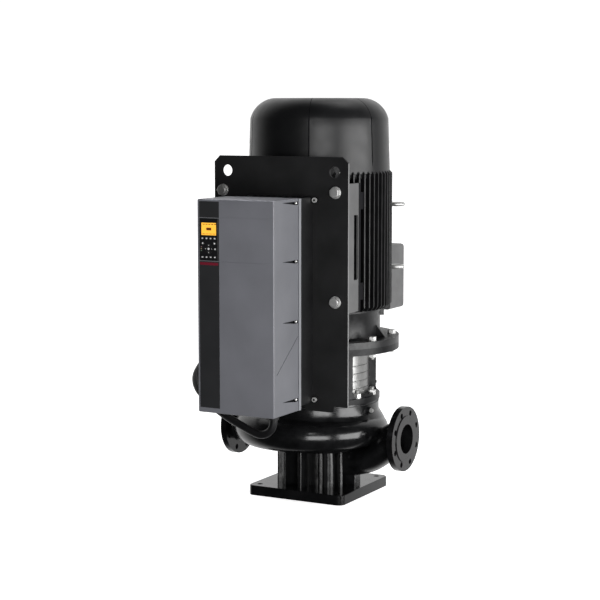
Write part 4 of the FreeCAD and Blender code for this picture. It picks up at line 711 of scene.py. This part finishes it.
def makeFasteners():
    tree = fastenerTree()
    for seed, (name, kind) in enumerate(fasteners.items(), firstTurnSeed):
        work = bmesh.new()
        washer(work, *kind["washer"], kind["axis"])
        for flats, low, high, chamferLow in kind["hexes"]:
            hexHead(work, flats, low, high, kind["axis"], chamferLow)
        threadedRod(work, *kind["rod"], kind["axis"])
        settings = {"Axis": kind["axis"], "Turn Seed": seed, "Finish": materials["zincSteel"]}
        baked = bakeTree(name, work, kind["places"], tree, settings)
        piece = addPiece(name, baked, "zincSteel", "pump_stand")
        if kind["node"]:
            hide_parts(kind["node"])


makeFasteners()
print("fasteners made")


def prism(work, near, far):
    # closed body between two outlines with equally many corners
    near = [work.verts.new(place) for place in near]
    far = [work.verts.new(place) for place in far]
    work.faces.new(near)
    work.faces.new(list(reversed(far)))
    for i in range(len(near)):
        j = (i + 1) % len(near)
        work.faces.new((near[i], far[i], far[j], near[j]))


def slab(work, outline, front, back):
    # an outline of (x, z) pairs as a plate between two depths
    prism(work, [(x, front, z) for x, z in outline], [(x, back, z) for x, z in outline])


def bar(x, z, width, height):
    left, right, low, high = x - width / 2, x + width / 2, z - height / 2, z + height / 2
    return [(left, low), (right, low), (right, high), (left, high)]


def arrow(x, z, size, bearing):
    points = [(size, 0), (-size * 0.5, size * 0.8), (-size * 0.5, -size * 0.8)]
    c, s = math.cos(bearing), math.sin(bearing)
    return [(x + px * c - pz * s, z + px * s + pz * c) for px, pz in points]


def disc(x, z, radius, sides=16):
    angles = [2 * math.pi * i / sides for i in range(sides)]
    return [(x + radius * math.cos(a), z + radius * math.sin(a)) for a in angles]


def flatPiece(name, outlines, front, thickness, finish, body):
    work = bmesh.new()
    for outline in outlines:
        slab(work, outline, front, front + thickness)
    addPiece(name, meshFrom(work, name), finish, body)


# plain marks only: bars on the menu and operation keys, arrows on the ring, dots on the round keys
keyMarks = {"front": -0.5945, "thickness": 0.0004, "ringReach": 0.0112, "arrow": 0.0021, "okDot": 0.0036,
            "dot": 0.0027, "bar": (0.0056, 0.0036), "dotted": ("key_back", "key_cancel", "key_info")}


def makeKeyMarks():
    k = keyMarks
    for node in sorted(node for node in frame["nodes"] if node.startswith("key_")):
        low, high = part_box(node)
        x, z = (low.x + high.x) / 2, (low.z + high.z) / 2
        if node == "key_arrow_ring":
            bearings = [math.pi / 2 * i for i in range(4)]
            marks = [arrow(x + k["ringReach"] * math.cos(b), z + k["ringReach"] * math.sin(b), k["arrow"], b)
                     for b in bearings]
        elif node == "key_ok":
            marks = [disc(x, z, k["okDot"])]
        elif node in k["dotted"]:
            marks = [disc(x, z, k["dot"])]
        else:
            marks = [bar(x, z, *k["bar"])]
        flatPiece(camel(node) + "Mark", marks, k["front"], k["thickness"], "glyphPale", bodyOf[node])


# bars on the strip and the display as x, z, width and height; the display's come in rows
stripMarks = {"front": -0.5912, "thickness": 0.0008, "band": [(-0.0795, 0.8358, 0.067, 0.0085)],
              "trims": [(-0.079, 0.9803, 0.072, 0.0018), (-0.079, 0.8444, 0.072, 0.0018)]}
displayRows = {"front": -0.5929, "thickness": 0.0004,
               "rows": [{"count": 5, "pitch": 0.0105, "first": (-0.0975, 0.9602, 0.007, 0.0022)},
                        {"count": 1, "pitch": 0, "first": (-0.079, 0.9455, 0.018, 0.0085)},
                        {"count": 4, "pitch": 0.0125, "first": (-0.0975, 0.9302, 0.009, 0.0015)}]}


def makePanelMarks():
    for name, which, finish in (("accentBand", "band", "bandRed"), ("panelTrims", "trims", "trimPale")):
        flatPiece(name, [bar(*size) for size in stripMarks[which]], stripMarks["front"],
                  stripMarks["thickness"], finish, "pump_stand")
    marks = []
    for row in displayRows["rows"]:
        x, z, width, height = row["first"]
        marks += [bar(x + row["pitch"] * i, z, width, height) for i in range(row["count"])]
    flatPiece("displayMarks", marks, displayRows["front"], displayRows["thickness"], "displayInk",
              "pump_stand")


makeKeyMarks()
makePanelMarks()
print("control panel marked")

# the two sides of the converter, each with the way that leads out of it
housingSides = ((converterSides["left"], -1), (converterSides["right"], 1))
rearLip = {"proud": 0.0002, "place": (-0.4213, 0.7), "size": (0.0012, 0.0136, 0.676), "bevel": 0.0003}
earSockets = {"x": (-0.108, 0.138), "z": (0.375, 1.027), "front": -0.298, "radius": 0.0042, "reach": 0.0004}
# heights of the side recesses; a web's slope runs back and down, and the screw's head is behind its low end
recessWebs = {"heights": (0.394, 0.645, 0.836, 1.02), "depth": 0.0022, "front": -0.534, "back": -0.456,
              "slopeBack": -0.464, "lowEnd": 0.0012, "highEnd": 0.0094}
clampHeads = {"inwards": 0.0048, "y": -0.4402, "lift": 0.005, "radius": 0.0042, "sides": (20, 12)}


def makeRearLips():
    # light lip along the rear edge of the housing's sides
    work = bmesh.new()
    for side, out in housingSides:
        centre = (side + out * rearLip["proud"], *rearLip["place"])
        bmesh.ops.create_cube(work, size=1, matrix=boxAt(centre, rearLip["size"]))
    bmesh.ops.bevel(work, geom=work.edges, offset=rearLip["bevel"], segments=1, affect="EDGES")
    addPiece("housingLips", meshFrom(work, "housingLips"), "trimPale", "pump_stand")


def makeSocketShade():
    # hexagon sockets of the screws through the mounting ears, as thin near-black hexagons on the ear fronts:
    # painted shade for the holes
    e = earSockets
    work = bmesh.new()
    for x in e["x"]:
        for z in e["z"]:
            slab(work, disc(x, z, e["radius"], 6), e["front"] - e["reach"], e["front"] + e["reach"])
    addPiece("earSockets", meshFrom(work, "earSockets"), "recessDark", "pump_stand")


def makeRecessWebs():
    # a web in the lower front part of each side recess leaves a wedge open; the webs take the housing's
    # darker grey, which is painted shade
    w = recessWebs
    work = bmesh.new()
    for side, out in housingSides:
        for level in w["heights"]:
            outline = [(w["front"], level), (w["back"], level), (w["slopeBack"], level + w["lowEnd"]),
                       (w["front"], level + w["highEnd"])]
            prism(work, [(side, y, z) for y, z in outline],
                  [(side - out * w["depth"], y, z) for y, z in outline])
    addPiece("recessWebs", meshFrom(work, "recessWebs"), "shellGrey", "pump_stand")


def makeClampHeads():
    # round heads of the clamping screws at the wide ends of the recesses
    h = clampHeads
    work = bmesh.new()
    for side, out in housingSides:
        for level in recessWebs["heights"]:
            centre = (side - out * h["inwards"], h["y"], level + h["lift"])
            bmesh.ops.create_uvsphere(work, u_segments=h["sides"][0], v_segments=h["sides"][1], radius=1,
                                      matrix=boxAt(centre, [h["radius"]] * 3))
    for face in work.faces:
        face.smooth = True
    addPiece("clampHeads", meshFrom(work, "clampHeads"), "screwBright", "pump_stand")


finEnds = {"count": 72, "inner": 0.2345, "outer": 0.2491, "low": 1.0742, "shoulder": 1.1035, "top": 1.1152,
           "chamferFoot": 0.2385, "halfRoot": 0.0041, "halfTip": 0.00235, "rootRadius": 0.213,
           "tipRadius": 0.249}


def finHalf(radius):
    e = finEnds
    share = (radius - e["rootRadius"]) / (e["tipRadius"] - e["rootRadius"])
    return e["halfRoot"] + (e["halfTip"] - e["halfRoot"]) * share


def makeFinEnds():
    # the frame's fins run up over the rim of the fan-end shield
    e = finEnds
    outline = [(e["inner"], e["low"]), (e["outer"], e["low"]), (e["outer"], e["shoulder"]),
               (e["chamferFoot"], e["top"]), (e["inner"], e["top"])]
    work = bmesh.new()
    prism(work, [(x, -finHalf(x), z) for x, z in outline], [(x, finHalf(x), z) for x, z in outline])
    baked = bakeTree("finEnds", work, [], ribTree(), {"Count": e["count"], "Finish": materials["frameSatin"]})
    print("fin ends:", len(baked.polygons), "faces")
    addPiece("finEnds", baked, "frameSatin", "pump_stand")


shieldRim = {"outer": 0.2386, "inner": 0.234, "low": 1.1085, "high": 1.1157, "sides": 144}


def makeShieldRim():
    # rim of the fan-end shield that closes the fins off below the cowl
    e = shieldRim
    work = bmesh.new()
    section = ((e["outer"], e["low"]), (e["outer"], e["high"]), (e["inner"], e["high"]),
               (e["inner"], e["low"]))
    rings = [ringOf(work, [corner] * e["sides"]) for corner in section]
    joinRings(work, rings + rings[:1])
    addPiece("shieldRim", meshFrom(work, "shieldRim"), "recessDark", "pump_stand")


makeRearLips()
makeSocketShade()
makeRecessWebs()
makeClampHeads()
makeFinEnds()
makeShieldRim()
print("converter and motor trimmed")

# places and sizes in metres, powers in watts, spread in degrees
studio = {
    "frontPanel": {"place": (4.17, -6.23, 0.55), "aim": (0, 0, 0.55), "size": (4.3, 3.4), "power": 395},
    "sidePanel": {"place": (5.5, 0, 0.55), "aim": (0, 0, 0.55), "size": (5.2, 3.4), "power": 480},
    "frontHigh": {"place": (1.64, -3.87, 2.95), "aim": (0, 0, 0.3), "size": (0.8, 0.5), "power": 11},
    "top": {"place": (0.6, 1.2, 4.6), "aim": (0, 0, 0.7), "size": (2.2, 1.6), "power": 20},
    "roof": {"place": (0.02, -0.52, 2.3), "aim": (0.015, -0.505, 1.04), "size": (0.2, 0.12), "power": 0.42,
             "spread": 24},
}
room = {"backdrop": (-0.476, 0.879, 0), "turn": (0.05, 0.7), "glow": (0.012, 1.06)}
floorLook = {"reach": 90, "z": -0.0005, "grain": 0.6, "detail": 2, "dull": (0.9, 0.9, 0.9),
             "bright": (0.93, 0.93, 0.93), "rough": 0.9, "glowFrom": (-0.2, 0.37)}


def makeCamera():
    data = bpy.data.cameras.new("photoView")
    data.lens = cameraView["lens"]
    data.sensor_width = cameraView["sensor"]
    data.clip_end = cameraView["clip"]
    camera = bpy.data.objects.new("photoView", data)
    camera.location = cameraView["place"]
    camera.rotation_euler = (math.radians(90 - cameraView["down"]), 0, math.radians(cameraView["turn"]))
    bpy.context.collection.objects.link(camera)
    bpy.context.scene.camera = camera


def makeRoom():
    # bright backdrop behind the object that falls to a dark room in front of it
    world = bpy.data.worlds.new("paleRoom")
    world.use_nodes = True
    tree = world.node_tree
    place = tree.nodes.new("ShaderNodeTexCoord")
    along = tree.nodes.new("ShaderNodeVectorMath")
    along.operation = "DOT_PRODUCT"
    along.inputs[1].default_value = room["backdrop"]
    tree.links.new(place.outputs["Generated"], along.inputs[0])
    background = tree.nodes["Background"]
    background.inputs["Color"].default_value = (1, 1, 1, 1)
    level = ramp(tree, along.outputs["Value"], room["turn"], room["glow"], "SMOOTHSTEP")
    tree.links.new(level, background.inputs["Strength"])
    bpy.context.scene.world = world
    bpy.context.scene.view_settings.view_transform = "Standard"


def makeLights():
    for name, light in studio.items():
        data = bpy.data.lights.new(name, "AREA")
        data.shape = "RECTANGLE"
        data.spread = math.radians(light.get("spread", 180))
        data.size, data.size_y = light["size"]
        data.energy = light["power"]
        lamp = bpy.data.objects.new(name, data)
        lamp.location = light["place"]
        aim = Vector(light["aim"]) - lamp.location
        lamp.rotation_euler = aim.to_track_quat("-Z", "Y").to_euler()
        lamp.visible_camera = False
        bpy.context.collection.objects.link(lamp)


def floorMaterial():
    # pale round the object, and glowing into the white backdrop away from it
    material, tree, shader = newMaterial("paleFloor")
    grain = noise(tree, floorLook["grain"], floorLook["detail"])
    tone = mixColours(tree, ramp(tree, grain, noiseSpan, (0, 1)), floorLook["dull"], floorLook["bright"])
    tree.links.new(tone, shader.inputs["Base Color"])
    shader.inputs["Roughness"].default_value = floorLook["rough"]
    reach = tree.nodes.new("ShaderNodeVectorMath")
    reach.operation = "LENGTH"
    tree.links.new(objectPlace(tree), reach.inputs[0])
    glow = ramp(tree, reach.outputs["Value"], floorLook["glowFrom"], (0, 1), "SMOOTHSTEP")
    tree.links.new(glow, shader.inputs["Emission Strength"])
    shader.inputs["Emission Color"].default_value = (1, 1, 1, 1)
    return material


def makeFloor():
    r, z = floorLook["reach"], floorLook["z"]
    mesh = bpy.data.meshes.new("paleFloor")
    mesh.from_pydata([(-r, -r, z), (r, -r, z), (r, r, z), (-r, r, z)], [], [(0, 1, 2, 3)])
    mesh.materials.append(floorMaterial())
    floor = bpy.data.objects.new("paleFloor", mesh)
    bpy.context.collection.objects.link(floor)
    floor.visible_glossy = False
    floor.visible_diffuse = False
    floor.visible_shadow = False


makeCamera()
makeRoom()
makeLights()
makeFloor()
print("camera and studio set")
